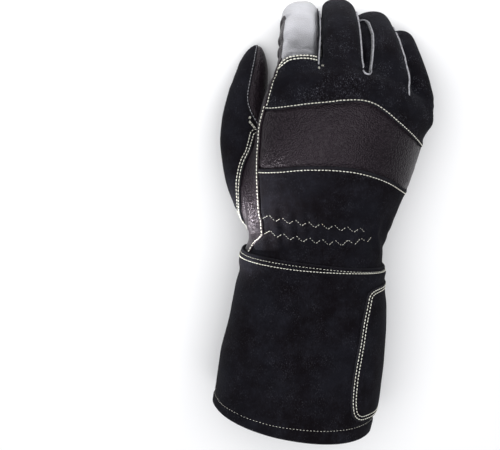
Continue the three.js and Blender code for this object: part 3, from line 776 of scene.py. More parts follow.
# Fields that divide the surface into panels, negative inside each panel
def line_field(points, line):
    """Distance in plan beyond a line that crosses the hand, towards the fingertips."""
    dense = smooth_table(line)
    slope = np.gradient(dense[:, 1], dense[:, 0])
    x, y = points[:, 0], points[:, 1]
    ahead = y - np.interp(x, dense[:, 0], dense[:, 1])
    return ahead / np.hypot(1, np.interp(x, dense[:, 0], slope))


def outline_field(points, outline):
    """Signed distance in plan to a closed outline, negative inside."""
    ring = np.vstack([smooth_line(stretch, 2.0)[:-1] for stretch in outline])
    ahead = np.roll(ring, -1, axis=0)
    nearest = np.full(len(points), np.inf)
    inside = np.zeros(len(points), bool)
    x, y = points[:, 0], points[:, 1]
    for (ax, ay), (bx, by) in zip(ring, ahead):
        ex, ey = bx - ax, by - ay
        t = np.clip(((x - ax) * ex + (y - ay) * ey) / max(ex * ex + ey * ey, TINY), 0, 1)
        nearest = np.minimum(nearest, np.hypot(x - ax - t * ex, y - ay - t * ey))
        if ay != by:
            inside ^= ((ay > y) != (by > y)) & (x < ex * (y - ay) / ey + ax)
    return np.where(inside, -nearest, nearest)


def plan_distance(points, line):
    """Distance in plan to a line of corners."""
    nearest = np.full(points.shape[:-1], np.inf)
    for start, end in zip(np.array(line[:-1]), np.array(line[1:])):
        along = end - start
        offset = points[..., :2] - start
        t = np.clip(offset @ along / (along @ along), 0, 1)
        nearest = np.minimum(nearest, np.linalg.norm(offset - t[..., None] * along, axis=-1))
    return nearest


def slot_field(points, name):
    """A slot in plan through the back of the glove between two fingers."""
    line, half = SLOTS[name]
    low = SLOT_LOW_Z - SLOT_SLOPE * np.clip(points[:, 1] - line[0][1], 0, None)
    return largest(plan_distance(points, line) - half, low - points[:, 2])


def side_gap(points, name, side):
    """Distance beyond the line where a finger's back ends beside its neighbour."""
    finger = FINGERS[name]
    along, across, _ = finger_place(points, finger)
    half = mix(*finger["wide"], np.clip(along / finger["length"], 0, 1)) / 2
    return side * across - VALLEY_SIDE * half


def strip_field(points, name):
    """The strip between two fingers: a bar on each finger, rounded towards the tip, and the web."""
    last = STRIP_ENDS[name]
    bars, corners, lows, highs = [], [], [], []
    for (which, web, low, near, far), side in zip(STRIPS[name], (1, -1)):
        finger = FINGERS[which]
        along, across, up = finger_place(points, finger)
        high = mix(near, far, smoothstep(*STRIP_TURN, along))
        share = np.clip((along / finger["length"] - STRIP_ROUND_FROM) / (last - STRIP_ROUND_FROM), 0, 1)
        half = (high - low) / 2 * np.sqrt(np.clip(1 - share**3, 0, 1))
        edge = np.abs(up - (low + high) / 2) - half
        own = finger_field(points, finger) - SKIN
        ends = largest(web - WEB_HALF - along, along - last * finger["length"])
        sides = largest(STRIP_ACROSS[0] - side * across, side * across - STRIP_ACROSS[1])
        bars.append(largest(edge, sides, ends, own))
        corners.append([finger_point(finger, web + k, side * WEB_SIDE, 0)[:2] for k in (-WEB_HALF, WEB_HALF)])
        middle = finger_point(finger, web + 1, side * WEB_SIDE, 0)[2]
        lows.append(middle + low)
        highs.append(middle + near)
    ring = [corners[0][0], corners[1][0], corners[1][1], corners[0][1]]
    outline = [[ring[k], ring[(k + 1) % 4]] for k in range(4)]
    web = largest(outline_field(points, outline), min(lows) - points[:, 2], points[:, 2] - max(highs))
    value = blend_union(blend_union(*bars, STRIP_ROUND), web, WEB_ROUND)
    value = blend_union(value, slot_field(points, name), STRIP_ROUND)
    if name == "index_middle":
        along, _, up = finger_place(points, FINGERS["index"])
        end = along - VALLEY_END * FINGERS["index"]["length"]
        sides = largest(-side_gap(points, "index", 1) - VALLEY_WIDER, -side_gap(points, "middle", -1))
        valley = largest(sides, VALLEY_LOW - up, VALLEY_START_Y - points[:, 1], end)
        value = blend_union(value, valley, STRIP_ROUND)
    return value


def back_field(points):
    """The back of the hand with the backs of the fingers, which wrap over their tips."""
    x, y, z = points.T
    edge_x, left, middle, right = columns_at(BACK_TABLE, y)
    first = np.clip((x - edge_x) / (BACK_MIDDLE_X - edge_x), 0, 1)
    second = np.clip((x - BACK_MIDDLE_X) / (BACK_RIGHT_X - BACK_MIDDLE_X), 0, 1)
    height = mix(mix(left, middle, first), right, second)
    value = largest(edge_x - x, height - z, y - BACK_END_Y)
    for name, finger in FINGERS.items():
        along, across, up = finger_place(points, finger)
        share = along / finger["length"]
        if name == "index":
            seam = mix(INDEX_SEAM, FINGER_SEAM, smoothstep(*INDEX_SEAM_TURN, across))
            wrap = smoothstep(*INDEX_CAP, share)
            start = INDEX_BACK_START
        else:
            seam = FINGER_SEAM
            wrap = np.clip((share - CAP[0]) / (CAP[1] - CAP[0]), 0, 1)
            start = FINGER_BACK_START
        low = mix(seam, CAP_LOW, wrap)
        value = np.minimum(value, largest(low - up, start - along, finger_field(points, finger) - SKIN))
    return value


def thumb_area_field(points):
    split, half = columns_at(THUMB_SPLIT, points[:, 1])
    over = smoothstep(split - half, split + half, points[:, 2])
    value = mix(outline_field(points, THUMB_PALM_OUTLINE), outline_field(points, THUMB_BACK_OUTLINE), over)
    x, y, z = points.T
    value = np.minimum(value, largest(THUMB_FREE_Y - y, z - THUMB_FREE_TOP_Z, x - THUMB_FREE_RIGHT_X))
    return -blend_union(-value, y - np.interp(z, THUMB_END[:, 0], THUMB_END[:, 1]), THUMB_END_ROUND)


def thumb_suede_field(points):
    edge_x, edge_z = columns_at(SUEDE_TABLE, points[:, 1])
    return largest(points[:, 0] - edge_x, edge_z - points[:, 2])


def heel_field(points):
    return largest(outline_field(points, HEEL_OUTLINE), points[:, 2] - HEEL_TOP_Z)


def cuff_patch_field(points):
    over = smoothstep(CUFF_MIDDLE_Z - CUFF_PATCH_TURN, CUFF_MIDDLE_Z + CUFF_PATCH_TURN, points[:, 2])
    return mix(outline_field(points, CUFF_PATCH_UNDER), outline_field(points, CUFF_PATCH_BACK), over)


# Folds, gathers and dents of the hand's surface, in millimetres along its normals.
# Folds across a finger: length along it, depth, width, middle of the fold around the finger, spread
FINGER_FOLDS = {
    "index": [(17, 0.8, 1.7, 205, 52), (28.5, 0.9, 2.1, 192, 46), (34, 0.5, 1.2, 230, 60),
              (40.5, 1.1, 2.1, 192, 46), (54, 0.9, 1.5, 250, 70), (62, 1.1, 2.1, 192, 46),
              (70, 0.6, 1.4, 215, 60), (31, 0.25, 2.4, 120, 40), (37, 0.6, 2.8, 152, 40),
              (57, 0.75, 2.0, 152, 36)],
    "middle": [(30, 1.0, 1.7, 270, 70), (36, 0.8, 1.3, 270, 60), (54, 1.0, 1.6, 270, 75),
               (60, 0.8, 1.3, 270, 60)],
    "ring": [(26, 1.0, 1.7, 270, 70), (33, 0.8, 1.3, 265, 60), (50, 1.0, 1.6, 270, 75),
             (56, 0.8, 1.3, 275, 60)],
    "little": [(14, 1.0, 1.7, 280, 80), (20, 0.8, 1.4, 275, 75), (40, 0.8, 1.5, 275, 75),
               (46, 0.6, 1.2, 280, 60)],
}
# Valleys and folds of the palm in plan: points, width, depth
PALM_VALLEYS = [
    ([(20.6, 83), (15.8, 62), (13.6, 24)], 5.0, 1.9),
    ([(40.4, 72), (38, 60), (36.6, 48), (33, 35)], 4.5, 1.7),
    ([(-4, 60), (-1, 40), (2, 25)], 6.0, 0.8),
]
PALM_SEAM = [(-22.1, 75.7), (-8.9, 81.6), (3.2, 90.0), (7.4, 88.9), (18.8, 88.2), (29.1, 81.3), (39.0, 77.7),
             (47, 74)]
THUMB_FOLDS = [
    ([(-9.4, 52), (-15.8, 41), (-25, 35)], 1.8, 1.0),
    ([(-8.5, 40), (-17, 29), (-29, 24)], 1.7, 1.0),
    ([(-10, 28), (-18, 19.5), (-28, 15)], 1.6, 0.8),
    ([(-14, 17), (-22, 10), (-31, 8)], 1.5, 0.6),
]
FOLD_WAVER = 2.4
FOLD_WAVER_SIZE = 9.0
FOLD_TILT = 0.045  # how far along the finger a fold runs for each degree around it
FOLD_NEAR = (2.5, 0.8)  # distances from a finger's own surface over which its folds fade in
FOLD_CORE = 0.35  # part of a fold's spread where it has its full depth
FADE_POWER = 0.6  # how quickly a fold in plan fades in from its ends
FINGER_RIDGE = (0.45, 2.1)  # the ridge beside a fold: share of its depth, and place in parts of its width
PALM_RIDGE = (0.35, 1.9)
PALM_UNDER = (0.0, -0.5)  # up in the hand's section, where the palm's folds fade in
PALM_END_Y = (100, 86)
PALM_STEP = 0.8  # height of the palm's seam under the fingers
PALM_STEP_RIGHT = (50, 40)
PALM_STEP_LEFT = (-27, -19)
PALM_STEP_BELOW = (-22, -2)
THUMB_FOLDS_Z = (44, 38)
SKIN_WAVES = [(0.55, 27.0, 1), (0.22, 12.0, 2)]  # height, size and seed
GATHER = 8.6  # pitch of the pleats over the elastic at the wrist
GATHER_SLOPE = 0.12
GATHER_BELOW = (-21, -9)
GATHER_ABOVE = (17, 2)
GATHER_SIZES = (0.35, 0.95)  # under the hand and on its back
GATHER_WAVER = 2.2
GATHER_WAVER_SIZE = 14.0
GATHER_TURN = (-0.2, 0.5)  # up in the hand's section, where one size turns into the other
GATHER_CHANGE = (0.75, 0.35)  # the pleats' mean height and how much it changes, as parts of their size
GATHER_CHANGE_SIZE = 16.0
ELASTIC_ROWS = (-1.0, -11.5)
ELASTIC_HALF = 3.0
ELASTIC_DIP = 0.55


def groove(distance, width, ridge):
    """The depth of a groove of depth one with a low ridge beside it."""
    return bell(distance, width) - ridge[0] * bell(distance - ridge[1] * width, width)


def fold_depth(plan, line, width, depth):
    """A groove along a line in plan that fades at both ends, with a low ridge on either side."""
    marks = smooth_line(line, 1.0)
    gap = plan[:, None, :] - marks[None, :, :]
    distances = np.hypot(gap[..., 0], gap[..., 1])
    nearest = distances.argmin(axis=1)
    distance = distances[np.arange(len(plan)), nearest]
    fade = np.sin(math.pi * np.clip(nearest / (len(marks) - 1), 0.02, 0.98)) ** FADE_POWER
    return -depth * fade * groove(distance, width, PALM_RIDGE)


def finger_folds(points):
    total = np.zeros(len(points))
    for name, folds in FINGER_FOLDS.items():
        finger = FINGERS[name]
        along, across, up = finger_place(points, finger)
        own = smoothstep(*FOLD_NEAR, finger_field(points, finger))
        around = np.degrees(np.arctan2(up, across)) % 360
        for number, (at, depth, width, middle, spread) in enumerate(folds):
            wave = FOLD_WAVER * noise(points, FOLD_WAVER_SIZE, 3 + number)
            distance = along - at - wave - FOLD_TILT * (around - middle)
            window = smoothstep(spread, FOLD_CORE * spread, np.abs(around - middle))
            total -= own * window * depth * groove(distance, width, FINGER_RIDGE)
    return total


def wrist_gathers(points, up):
    """Pleats over the elastic on the back of the wrist, and shallow ones under it."""
    height = points[:, 1] + GATHER_SLOPE * points[:, 0]
    window = smoothstep(*GATHER_BELOW, height) * smoothstep(*GATHER_ABOVE, height)
    phase = 2 * math.pi * (points[:, 0] + GATHER_WAVER * noise(points, GATHER_WAVER_SIZE, 11)) / GATHER
    change = GATHER_CHANGE[0] + GATHER_CHANGE[1] * noise(points, GATHER_CHANGE_SIZE, 12)
    size = mix(*GATHER_SIZES, smoothstep(*GATHER_TURN, up)) * change
    dip = sum(bell(height - row, ELASTIC_HALF) for row in ELASTIC_ROWS)
    return window * (size * np.sin(phase) - ELASTIC_DIP * dip)


def hand_relief(points):
    """All the large folds of the hand together."""
    _, _, up, _, _ = section_place(points, HAND_TABLE)
    plan = points[:, :2]
    under = smoothstep(*PALM_UNDER, up) * smoothstep(*PALM_END_Y, points[:, 1])
    total = sum(height * noise(points, size, seed) for height, size, seed in SKIN_WAVES)
    total += finger_folds(points) + wrist_gathers(points, up)
    for line, width, depth in PALM_VALLEYS:
        total += under * fold_depth(plan, line, width, depth)
    step = line_field(points, PALM_SEAM)
    beside = smoothstep(*PALM_STEP_RIGHT, points[:, 0]) * smoothstep(*PALM_STEP_LEFT, points[:, 0])
    fade = smoothstep(0.5, -0.5, step) * smoothstep(*PALM_STEP_BELOW, step)
    total += under * PALM_STEP * fade * beside
    low = smoothstep(*THUMB_FOLDS_Z, points[:, 2])
    for line, width, depth in THUMB_FOLDS:
        total += low * fold_depth(plan, line, width, depth)
    return total


# Meshes
def make_object(name, points, faces, material, edge=None):
    """A mesh object from drawing millimetres, in the frame's metres, that rides on the glove's body."""
    points = np.column_stack([points[:, :2], np.maximum(points[:, 2], 0)])  # not under the floor
    mesh = bpy.data.meshes.new(name)
    mesh.vertices.add(len(points))
    mesh.vertices.foreach_set("co", ((points - PLAN_MIDDLE) * MM).astype(np.float32).ravel())
    mesh.loops.add(faces.size)
    mesh.loops.foreach_set("vertex_index", faces.astype(np.int32).ravel())
    mesh.polygons.add(len(faces))
    sides = faces.shape[1]
    mesh.polygons.foreach_set("loop_start", np.arange(0, faces.size, sides, dtype=np.int32))
    mesh.polygons.foreach_set("loop_total", np.full(len(faces), sides, dtype=np.int32))
    mesh.update(calc_edges=True)
    mesh.validate()
    mesh.polygons.foreach_set("use_smooth", np.ones(len(mesh.polygons), bool))
    # the edge value drives the suede's painted edge highlight
    if edge is not None:
        attribute = mesh.attributes.new("edge", "FLOAT", "POINT")
        attribute.data.foreach_set("value", np.asarray(edge, np.float32))
    mesh.materials.append(material)
    thing = bpy.data.objects.new(name, mesh)
    bpy.context.scene.collection.objects.link(thing)
    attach(thing, "root")
    return thing


def stand_for(node):
    """Hides the frame's part for a node, as a built object takes its place."""
    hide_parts(node)


RIM_STEPS = 3
RIM_BULGE = 0.32  # as a part of the thickness


def solid_panel(name, surface, thickness, material, edge):
    """A panel with thickness under its surface and a rounded edge; edge is how near to it each point is."""
    points, normals = surface.points, surface.normals
    inner = points - normals * thickness
    edges = surface.border()
    direction = points[edges[:, 1]] - points[edges[:, 0]]
    outward = np.zeros_like(points)
    for k in range(2):
        np.add.at(outward, edges[:, k], np.cross(direction, normals[edges[:, k]]))
    outward = unit(outward)
    rim = np.unique(edges)
    place = np.full(len(points), -1)
    place[rim] = np.arange(len(rim))
    count = len(points)
    numbers = [np.arange(count)]
    extra = []
    for step in range(1, RIM_STEPS + 1):
        part = step / (RIM_STEPS + 1)
        bulge = RIM_BULGE * thickness * math.sin(math.pi * part)
        extra.append(mix(points[rim], inner[rim], part) + outward[rim] * bulge)
        numbers.append(2 * count + (step - 1) * len(rim) + place)
    numbers.append(np.arange(count) + count)
    faces = [surface.faces, surface.faces[:, ::-1] + count]
    for upper, lower in zip(numbers[:-1], numbers[1:]):
        a, b = edges.T
        faces.append(np.column_stack([upper[b], upper[a], lower[a]]))
        faces.append(np.column_stack([upper[b], lower[a], lower[b]]))
    edge = np.concatenate([edge, edge, *[edge[rim]] * RIM_STEPS])
    return make_object(name, np.vstack([points, inner, *extra]), np.vstack(faces), material, edge)


STITCH_SIDES = 6
STITCH_RINGS = 6
LEAST_STITCH = 0.3  # part of its length that a stitch must reach along its line
STITCH_START = 0.2
STITCH_SHIFT = 0.03  # how far a stitch is off its place, as a part of the pitch
STITCH_LENGTHS = (0.93, 1.04)
STITCH_LEAN = 0.05
STITCH_ARCH = 0.75  # how high a stitch arches and how low its ends lie, as parts of its radius
STITCH_DIP = 0.25
STITCH_END = 0.35  # radius of its ends, as a part of the full one
PLY_DEPTH = 0.12
PLY_TWIST = 1.1


def stitch_mesh(lines, pitch, length, radius, seed, sink=0.0):
    """Points and faces of short threads laid along lines of points with normals."""
    random = np.random.default_rng(seed)
    all_points, all_faces = [], []
    offset = 0
    angles = np.arange(STITCH_SIDES) * 2 * math.pi / STITCH_SIDES
    share = np.linspace(0, 1, STITCH_RINGS)
    for line in lines:
        rows = line[:, :6]
        lengths = lengths_along(rows[:, :3])
        for start in np.arange(STITCH_START, lengths[-1] - length, pitch):
            first = start + random.normal(0, STITCH_SHIFT * pitch)
            at = first + share * length * random.uniform(*STITCH_LENGTHS)
            place = np.column_stack([np.interp(at, lengths, rows[:, k]) for k in range(6)])
            forward = place[-1, :3] - place[0, :3]
            size = np.linalg.norm(forward)
            if size < LEAST_STITCH * length:
                continue
            forward /= size
            normal = place[:, 3:6].mean(axis=0)
            normal -= forward * (normal @ forward)
            normal /= max(np.linalg.norm(normal), TINY)
            side = np.cross(forward, normal)
            lean = random.normal(0, STITCH_LEAN) * (share - 0.5) * length
            rise = radius * (STITCH_ARCH * np.sin(math.pi * share) ** 0.6 - STITCH_DIP) - sink
            middle = place[:, :3] + normal * rise[:, None] + side * lean[:, None]
            thick = radius * mix(STITCH_END, 1, np.sin(math.pi * np.clip(share, 0.03, 0.97)) ** 0.4)
            twist = PLY_TWIST * share * length / radius
            ply = 1 + PLY_DEPTH * np.cos(2 * angles[None, :] - twist[:, None])
            ring = (
                middle[:, None, :]
                + side * (np.cos(angles) * ply * thick[:, None])[..., None]
                + normal * (np.sin(angles) * ply * thick[:, None])[..., None]
            )
            ends = np.stack([middle[0], middle[-1]])
            all_points.append(np.vstack([ring.reshape(-1, 3), ends]))
            all_faces.append(STITCH_FACES + offset)
            offset += STITCH_SIDES * STITCH_RINGS + 2
    return np.vstack(all_points), np.vstack(all_faces)


def stitch_faces():
    faces = []
    last = (STITCH_RINGS - 1) * STITCH_SIDES
    cap = STITCH_SIDES * STITCH_RINGS
    for k in range(STITCH_SIDES):
        following = (k + 1) % STITCH_SIDES
        for ring in range(0, last, STITCH_SIDES):
            a, b = ring + k, ring + following
            faces.append((a, b, b + STITCH_SIDES))
            faces.append((a, b + STITCH_SIDES, a + STITCH_SIDES))
        faces.append((cap, following, k))
        faces.append((cap + 1, last + k, last + following))
    return np.array(faces)


STITCH_FACES = stitch_faces()


EASED_STEP = 0.6
EASED_ROUNDS = 3
CLOSED = 0.05  # a line whose ends are nearer than this is a ring
LEAST_LINE = 6.0


def eased(line):
    """A line of rows with its small corners smoothed, at even steps."""
    rows = resample(line, EASED_STEP)
    closed = np.linalg.norm(line[0, :3] - line[-1, :3]) < CLOSED
    for _ in range(EASED_ROUNDS):
        if closed:
            ring = rows[:-1]
            ring = (np.roll(ring, 1, axis=0) + 2 * ring + np.roll(ring, -1, axis=0)) / 4
            rows = np.vstack([ring, ring[:1]])
        else:
            rows[1:-1] = (rows[:-2] + 2 * rows[1:-1] + rows[2:]) / 4
    return rows


def lines_of(surface, value):
    """The zero lines of a value on a surface, without the shortest."""
    found = [eased(line) for line in surface.contour(value) if len(line) > 3]
    return [line for line in found if lengths_along(line[:, :3])[-1] > LEAST_LINE]


def add_stitches(name, lines, material, pitch=2.3, length=1.62, radius=0.31, seed=1, sink=0.0):
    if lines:
        points, faces = stitch_mesh(lines, pitch, length, radius, seed, sink)
        make_object(name, points, faces, material)


# Half of a raw edge's section: across, as a part of its half width, and up, as a part of its height
RIB_CORNERS = [(1.0, 0.0), (0.95, 0.75), (0.55, 1.0)]
RIB_PROFILE = [(-a, u) for a, u in RIB_CORNERS] + RIB_CORNERS[::-1]
RIB_STEP = 0.8
RIB_END_STEPS = 3.0  # steps over which a raw edge grows to its full size
RIB_END = 0.15
RIB_RAGGED = (0.12, 0.1)  # how much its height and its width change


def add_rib(name, lines, half, height, sink, material):
    """A raw edge standing up along a seam: a rounded strip swept along each line."""
    all_points, all_faces = [], []
    offset = 0
    for line in lines:
        rows = resample(line[:, :6], RIB_STEP)
        forward = unit(np.gradient(rows[:, :3], axis=0))
        normal = unit(rows[:, 3:6] - forward * np.sum(rows[:, 3:6] * forward, axis=1)[:, None])
        side = np.cross(forward, normal)
        count = len(rows)
        from_end = np.minimum(np.arange(count), np.arange(count)[::-1])
        ends = np.clip(from_end / RIB_END_STEPS, RIB_END, 1)
        tall = height * ends * (1 + RIB_RAGGED[0] * noise(rows[:, :3], 3.0, 31))
        wide = half * mix(0.5, 1, ends) * (1 + RIB_RAGGED[1] * noise(rows[:, :3], 2.2, 32))
        points = [
            rows[:, :3] + side * (a * wide)[:, None] + normal * (-sink + u * (tall + sink))[:, None]
            for a, u in RIB_PROFILE
        ]
        points = np.stack(points, axis=1)
        sides = len(RIB_PROFILE)
        k = np.arange(sides)
        following = (k + 1) % sides
        for i in range(count - 1):
            a, b = offset + i * sides + k, offset + i * sides + following
            all_faces.append(np.column_stack([a, b, b + sides]))
            all_faces.append(np.column_stack([a, b + sides, a + sides]))
        for end, order in ((0, (0, 2, 1)), (count - 1, (0, 1, 2))):
            base = offset + end * sides
            fan = np.array([(base, base + j, base + j + 1) for j in range(1, sides - 1)])
            all_faces.append(fan[:, order])
        all_points.append(points.reshape(-1, 3))
        offset += count * sides
    if all_points:
        make_object(name, np.vstack(all_points), np.vstack(all_faces), material)


# Materials
class Nodes:
    """Short ways to add nodes to a material."""

    def __init__(self, name):
        self.material = bpy.data.materials.new(name)
        self.material.use_nodes = True
        self.tree = self.material.node_tree
        self.shader = self.tree.nodes["Principled BSDF"]
        self.place = self.tree.nodes.new("ShaderNodeTexCoord").outputs["Object"]

    def add(self, kind, inputs=None, **settings):
        node = self.tree.nodes.new(kind)
        for key, value in settings.items():
            setattr(node, key, value)
        for key, value in (inputs or {}).items():
            if isinstance(value, bpy.types.NodeSocket):
                self.tree.links.new(value, node.inputs[key])
            else:
                node.inputs[key].default_value = value
        return node

    def noise(self, size, detail=3.0, roughness=0.5, stretch=None):
        """Noise with features of a size in millimetres, stretched along the axes."""
        place = self.place
        if stretch is not None:
            place = self.add("ShaderNodeMapping", {"Vector": place, "Scale": stretch}).outputs[0]
        values = {"Vector": place, "Scale": 1 / (size * MM), "Detail": detail, "Roughness": roughness}
        return self.add("ShaderNodeTexNoise", values).outputs["Fac"]

    def cells(self, size, randomness):
        values = {"Vector": self.place, "Scale": 1 / (size * MM), "Randomness": randomness}
        return self.add("ShaderNodeTexVoronoi", values).outputs["Distance"]

    def ramp(self, value, low, high, start=0.0, end=1.0):
        values = {"Value": value, "From Min": low, "From Max": high, "To Min": start, "To Max": end}
        return self.add("ShaderNodeMapRange", values).outputs[0]

    def product(self, first, second):
        return self.add("ShaderNodeMath", {0: first, 1: second}, operation="MULTIPLY").outputs[0]

    def colours(self, part, first, second):
        node = self.add("ShaderNodeMix", data_type="RGBA")
        for socket, value in ((node.inputs[0], part), (node.inputs[6], first), (node.inputs[7], second)):
            if isinstance(value, bpy.types.NodeSocket):
                self.tree.links.new(value, socket)
            else:
                socket.default_value = value
        return node.outputs[2]

    def value(self, name):
        return self.add("ShaderNodeAttribute", attribute_name=name).outputs["Fac"]

    def bump(self, height, distance, strength=1.0, under=None):
        values = {"Height": height, "Distance": distance * MM, "Strength": strength}
        if under is not None:
            values["Normal"] = under
        return self.add("ShaderNodeBump", values).outputs[0]

    def constants(self, **values):
        for key, value in values.items():
            self.shader.inputs[key.replace("_", " ")].default_value = value

    def connect(self, **sockets):
        for key, value in sockets.items():
            self.tree.links.new(value, self.shader.inputs[key.replace("_", " ")])
        return self.material


SUEDE_DARK = (0.0024, 0.0015, 0.0024, 1)
SUEDE_LIGHT = (0.0052, 0.0052, 0.0078, 1)
SUEDE_NAP = (0.014, 0.014, 0.0195, 1)
SUEDE_FIBRE = (0.095, 0.095, 0.115, 1)
# Painted highlight: the suede is lightened towards the edges of its panels and patches and along the cuff's
# turned edges
SUEDE_EDGE_HIGHLIGHT = (0.035, 0.035, 0.04, 1)
SUEDE_EDGE_HIGHLIGHT_SHARE = 0.3
SUEDE_SHEEN = (0.75, 0.78, 1.0, 1)


def suede_material(name, fibre_share):
    """Black split leather: a brushed nap in patches, a share of fine pale fibres, and a painted highlight
    along its edges.
    """
    n = Nodes(name)
    patches = n.ramp(n.noise(size=32, detail=4.0, roughness=0.6), low=0.42, high=0.62)
    colour = n.colours(patches, SUEDE_DARK, SUEDE_LIGHT)
    nap = n.noise(size=1.6, detail=5.0, roughness=0.7, stretch=(1.0, 0.55, 1.0))
    nap = n.ramp(nap, low=0.3, high=0.75)
    clouds = n.ramp(n.noise(size=13, detail=4.0, roughness=0.65), low=0.42, high=0.72, start=0.1)
    colour = n.colours(n.product(nap, clouds), colour, SUEDE_NAP)
    fibres = n.noise(size=0.7, detail=2.0, roughness=0.6, stretch=(1.5, 0.6, 1.0))
    fibres = n.ramp(fibres, low=0.57, high=0.7)
    brushed = n.ramp(n.noise(size=11, roughness=0.6), low=0.44, high=0.66, start=0.04, end=fibre_share)
    colour = n.colours(n.product(fibres, brushed), colour, SUEDE_FIBRE)
    # the edge value mixes in the lighter colour near edges, a painted highlight
    colour = n.colours(n.product(n.value("edge"), SUEDE_EDGE_HIGHLIGHT_SHARE), colour, SUEDE_EDGE_HIGHLIGHT)
    rough = n.ramp(nap, low=0, high=1, start=0.86)
    lumps = n.bump(n.noise(size=2.4, roughness=0.6), distance=0.35, strength=0.5)
    pile = n.noise(size=0.6, detail=4.0, roughness=0.7)
    pile = n.bump(pile, distance=0.22, strength=0.8, under=lumps)
    n.constants(Specular_IOR_Level=0.07, Sheen_Weight=0.01, Sheen_Roughness=0.55, Sheen_Tint=SUEDE_SHEEN)
    return n.connect(Base_Color=colour, Roughness=rough, Normal=pile)


LEATHER_DARK = (0.0085, 0.0055, 0.0082, 1)
LEATHER_LIGHT = (0.0165, 0.0115, 0.0155, 1)
LEATHER_VALLEY_SHADE = (0.003, 0.002, 0.003, 1)
LEATHER_GLOSS = (1.0, 0.88, 0.97, 1)


def leather_material():
    """Pebbled grain leather, near black with a purple cast, with painted shade in the valleys of its grain.
    """
    n = Nodes("leather")
    patches = n.ramp(n.noise(size=30, roughness=0.55), low=0.3, high=0.7)
    colour = n.colours(patches, LEATHER_DARK, LEATHER_LIGHT)
    cells = n.cells(size=1.15, randomness=0.85)
    # Painted shade: the valleys between the pebbles are darkened
    colour = n.colours(n.ramp(cells, low=0.25, high=0.7, end=0.75), colour, LEATHER_VALLEY_SHADE)
    rough = n.ramp(n.noise(size=3.0), low=0.3, high=0.7, start=0.33, end=0.43)
    creases = n.noise(size=5.5, roughness=0.6, stretch=(1.0, 0.45, 1.0))
    creases = n.bump(n.ramp(creases, low=0.48, high=0.52), distance=0.05, strength=0.25)
    pebbles = n.ramp(cells, low=0.1, high=0.75, start=1, end=0)
    pebbles = n.bump(pebbles, distance=0.32, under=creases)
    grain = n.bump(n.noise(size=0.5, roughness=0.6), distance=0.06, strength=0.5, under=pebbles)
    n.constants(Specular_IOR_Level=0.2, Specular_Tint=LEATHER_GLOSS)
    return n.connect(Base_Color=colour, Roughness=rough, Normal=grain)


# Painted reflection: light grey tones that, made metallic, stand in for the bright reflection along the index
# finger's back
REFLECTION_GREY_DARK = (0.24, 0.24, 0.252, 1)
REFLECTION_GREY_LIGHT = (0.31, 0.31, 0.33, 1)


def index_reflection_material():
    """Smooth leather with a soft gloss; its light grey, metallic colour paints the bright reflection along
    the index finger's back.
    """
    n = Nodes("index_leather")
    patches = n.ramp(n.noise(size=16, roughness=0.55), low=0.3, high=0.7)
    colour = n.colours(patches, REFLECTION_GREY_DARK, REFLECTION_GREY_LIGHT)
    rough = n.ramp(n.noise(size=4.0), low=0.3, high=0.7, start=0.3, end=0.38)
    waves = n.bump(n.noise(size=3.2), distance=0.2, strength=0.5)
    grain = n.ramp(n.cells(size=0.8, randomness=0.9), low=0.15, high=0.8, start=1, end=0)
    grain = n.bump(grain, distance=0.13, strength=0.8, under=waves)
    # metallic, so that the grey base shows the painted reflection
    n.constants(Metallic=0.85)
    return n.connect(Base_Color=colour, Roughness=rough, Normal=grain)


CREAM = (0.86, 0.85, 0.76, 1)
SOILED_CREAM = (0.68, 0.66, 0.56, 1)
PALE_EDGE = (0.46, 0.46, 0.49, 1)
DARK_EDGE = (0.21, 0.21, 0.23, 1)
PALE_SPLIT = (0.2, 0.2, 0.21, 1)
DARK_SPLIT = (0.07, 0.07, 0.075, 1)


def thread_material():
    """Waxed cream thread with a little soiling."""
    n = Nodes("thread")
    colour = n.colours(n.ramp(n.noise(size=6), low=0.35, high=0.75), CREAM, SOILED_CREAM)
    fibres = n.bump(n.noise(size=0.16, detail=2.0), distance=0.05, strength=0.6)
    n.constants(Roughness=0.6, Specular_IOR_Level=0.3)
    return n.connect(Base_Color=colour, Normal=fibres)


def raw_edge_material(name, pale, dark):
    """The cut edge of split leather."""
    n = Nodes(name)
    patches = n.ramp(n.noise(size=1.8, detail=4.0, roughness=0.7), low=0.35, high=0.68)
    colour = n.colours(patches, pale, dark)
    fibres = n.bump(n.noise(size=0.35, roughness=0.7), distance=0.12, strength=0.8)
    n.constants(Roughness=0.85, Specular_IOR_Level=0.2)
    return n.connect(Base_Color=colour, Normal=fibres)


SUEDE = suede_material("suede", fibre_share=1.0)
CALM_SUEDE = suede_material("calm_suede", fibre_share=0.3)
GRAIN_LEATHER = leather_material()
INDEX_REFLECTION_LEATHER = index_reflection_material()
THREAD = thread_material()
RAW_EDGE = raw_edge_material("raw_edge", PALE_EDGE, DARK_EDGE)
SPLIT_EDGE = raw_edge_material("split_edge", PALE_SPLIT, DARK_SPLIT)


# The hand: surface, panels and seams
SETTLE_ROUNDS = 4
HAND_END = 1.0  # length cut off the hand's closed end inside the cuff


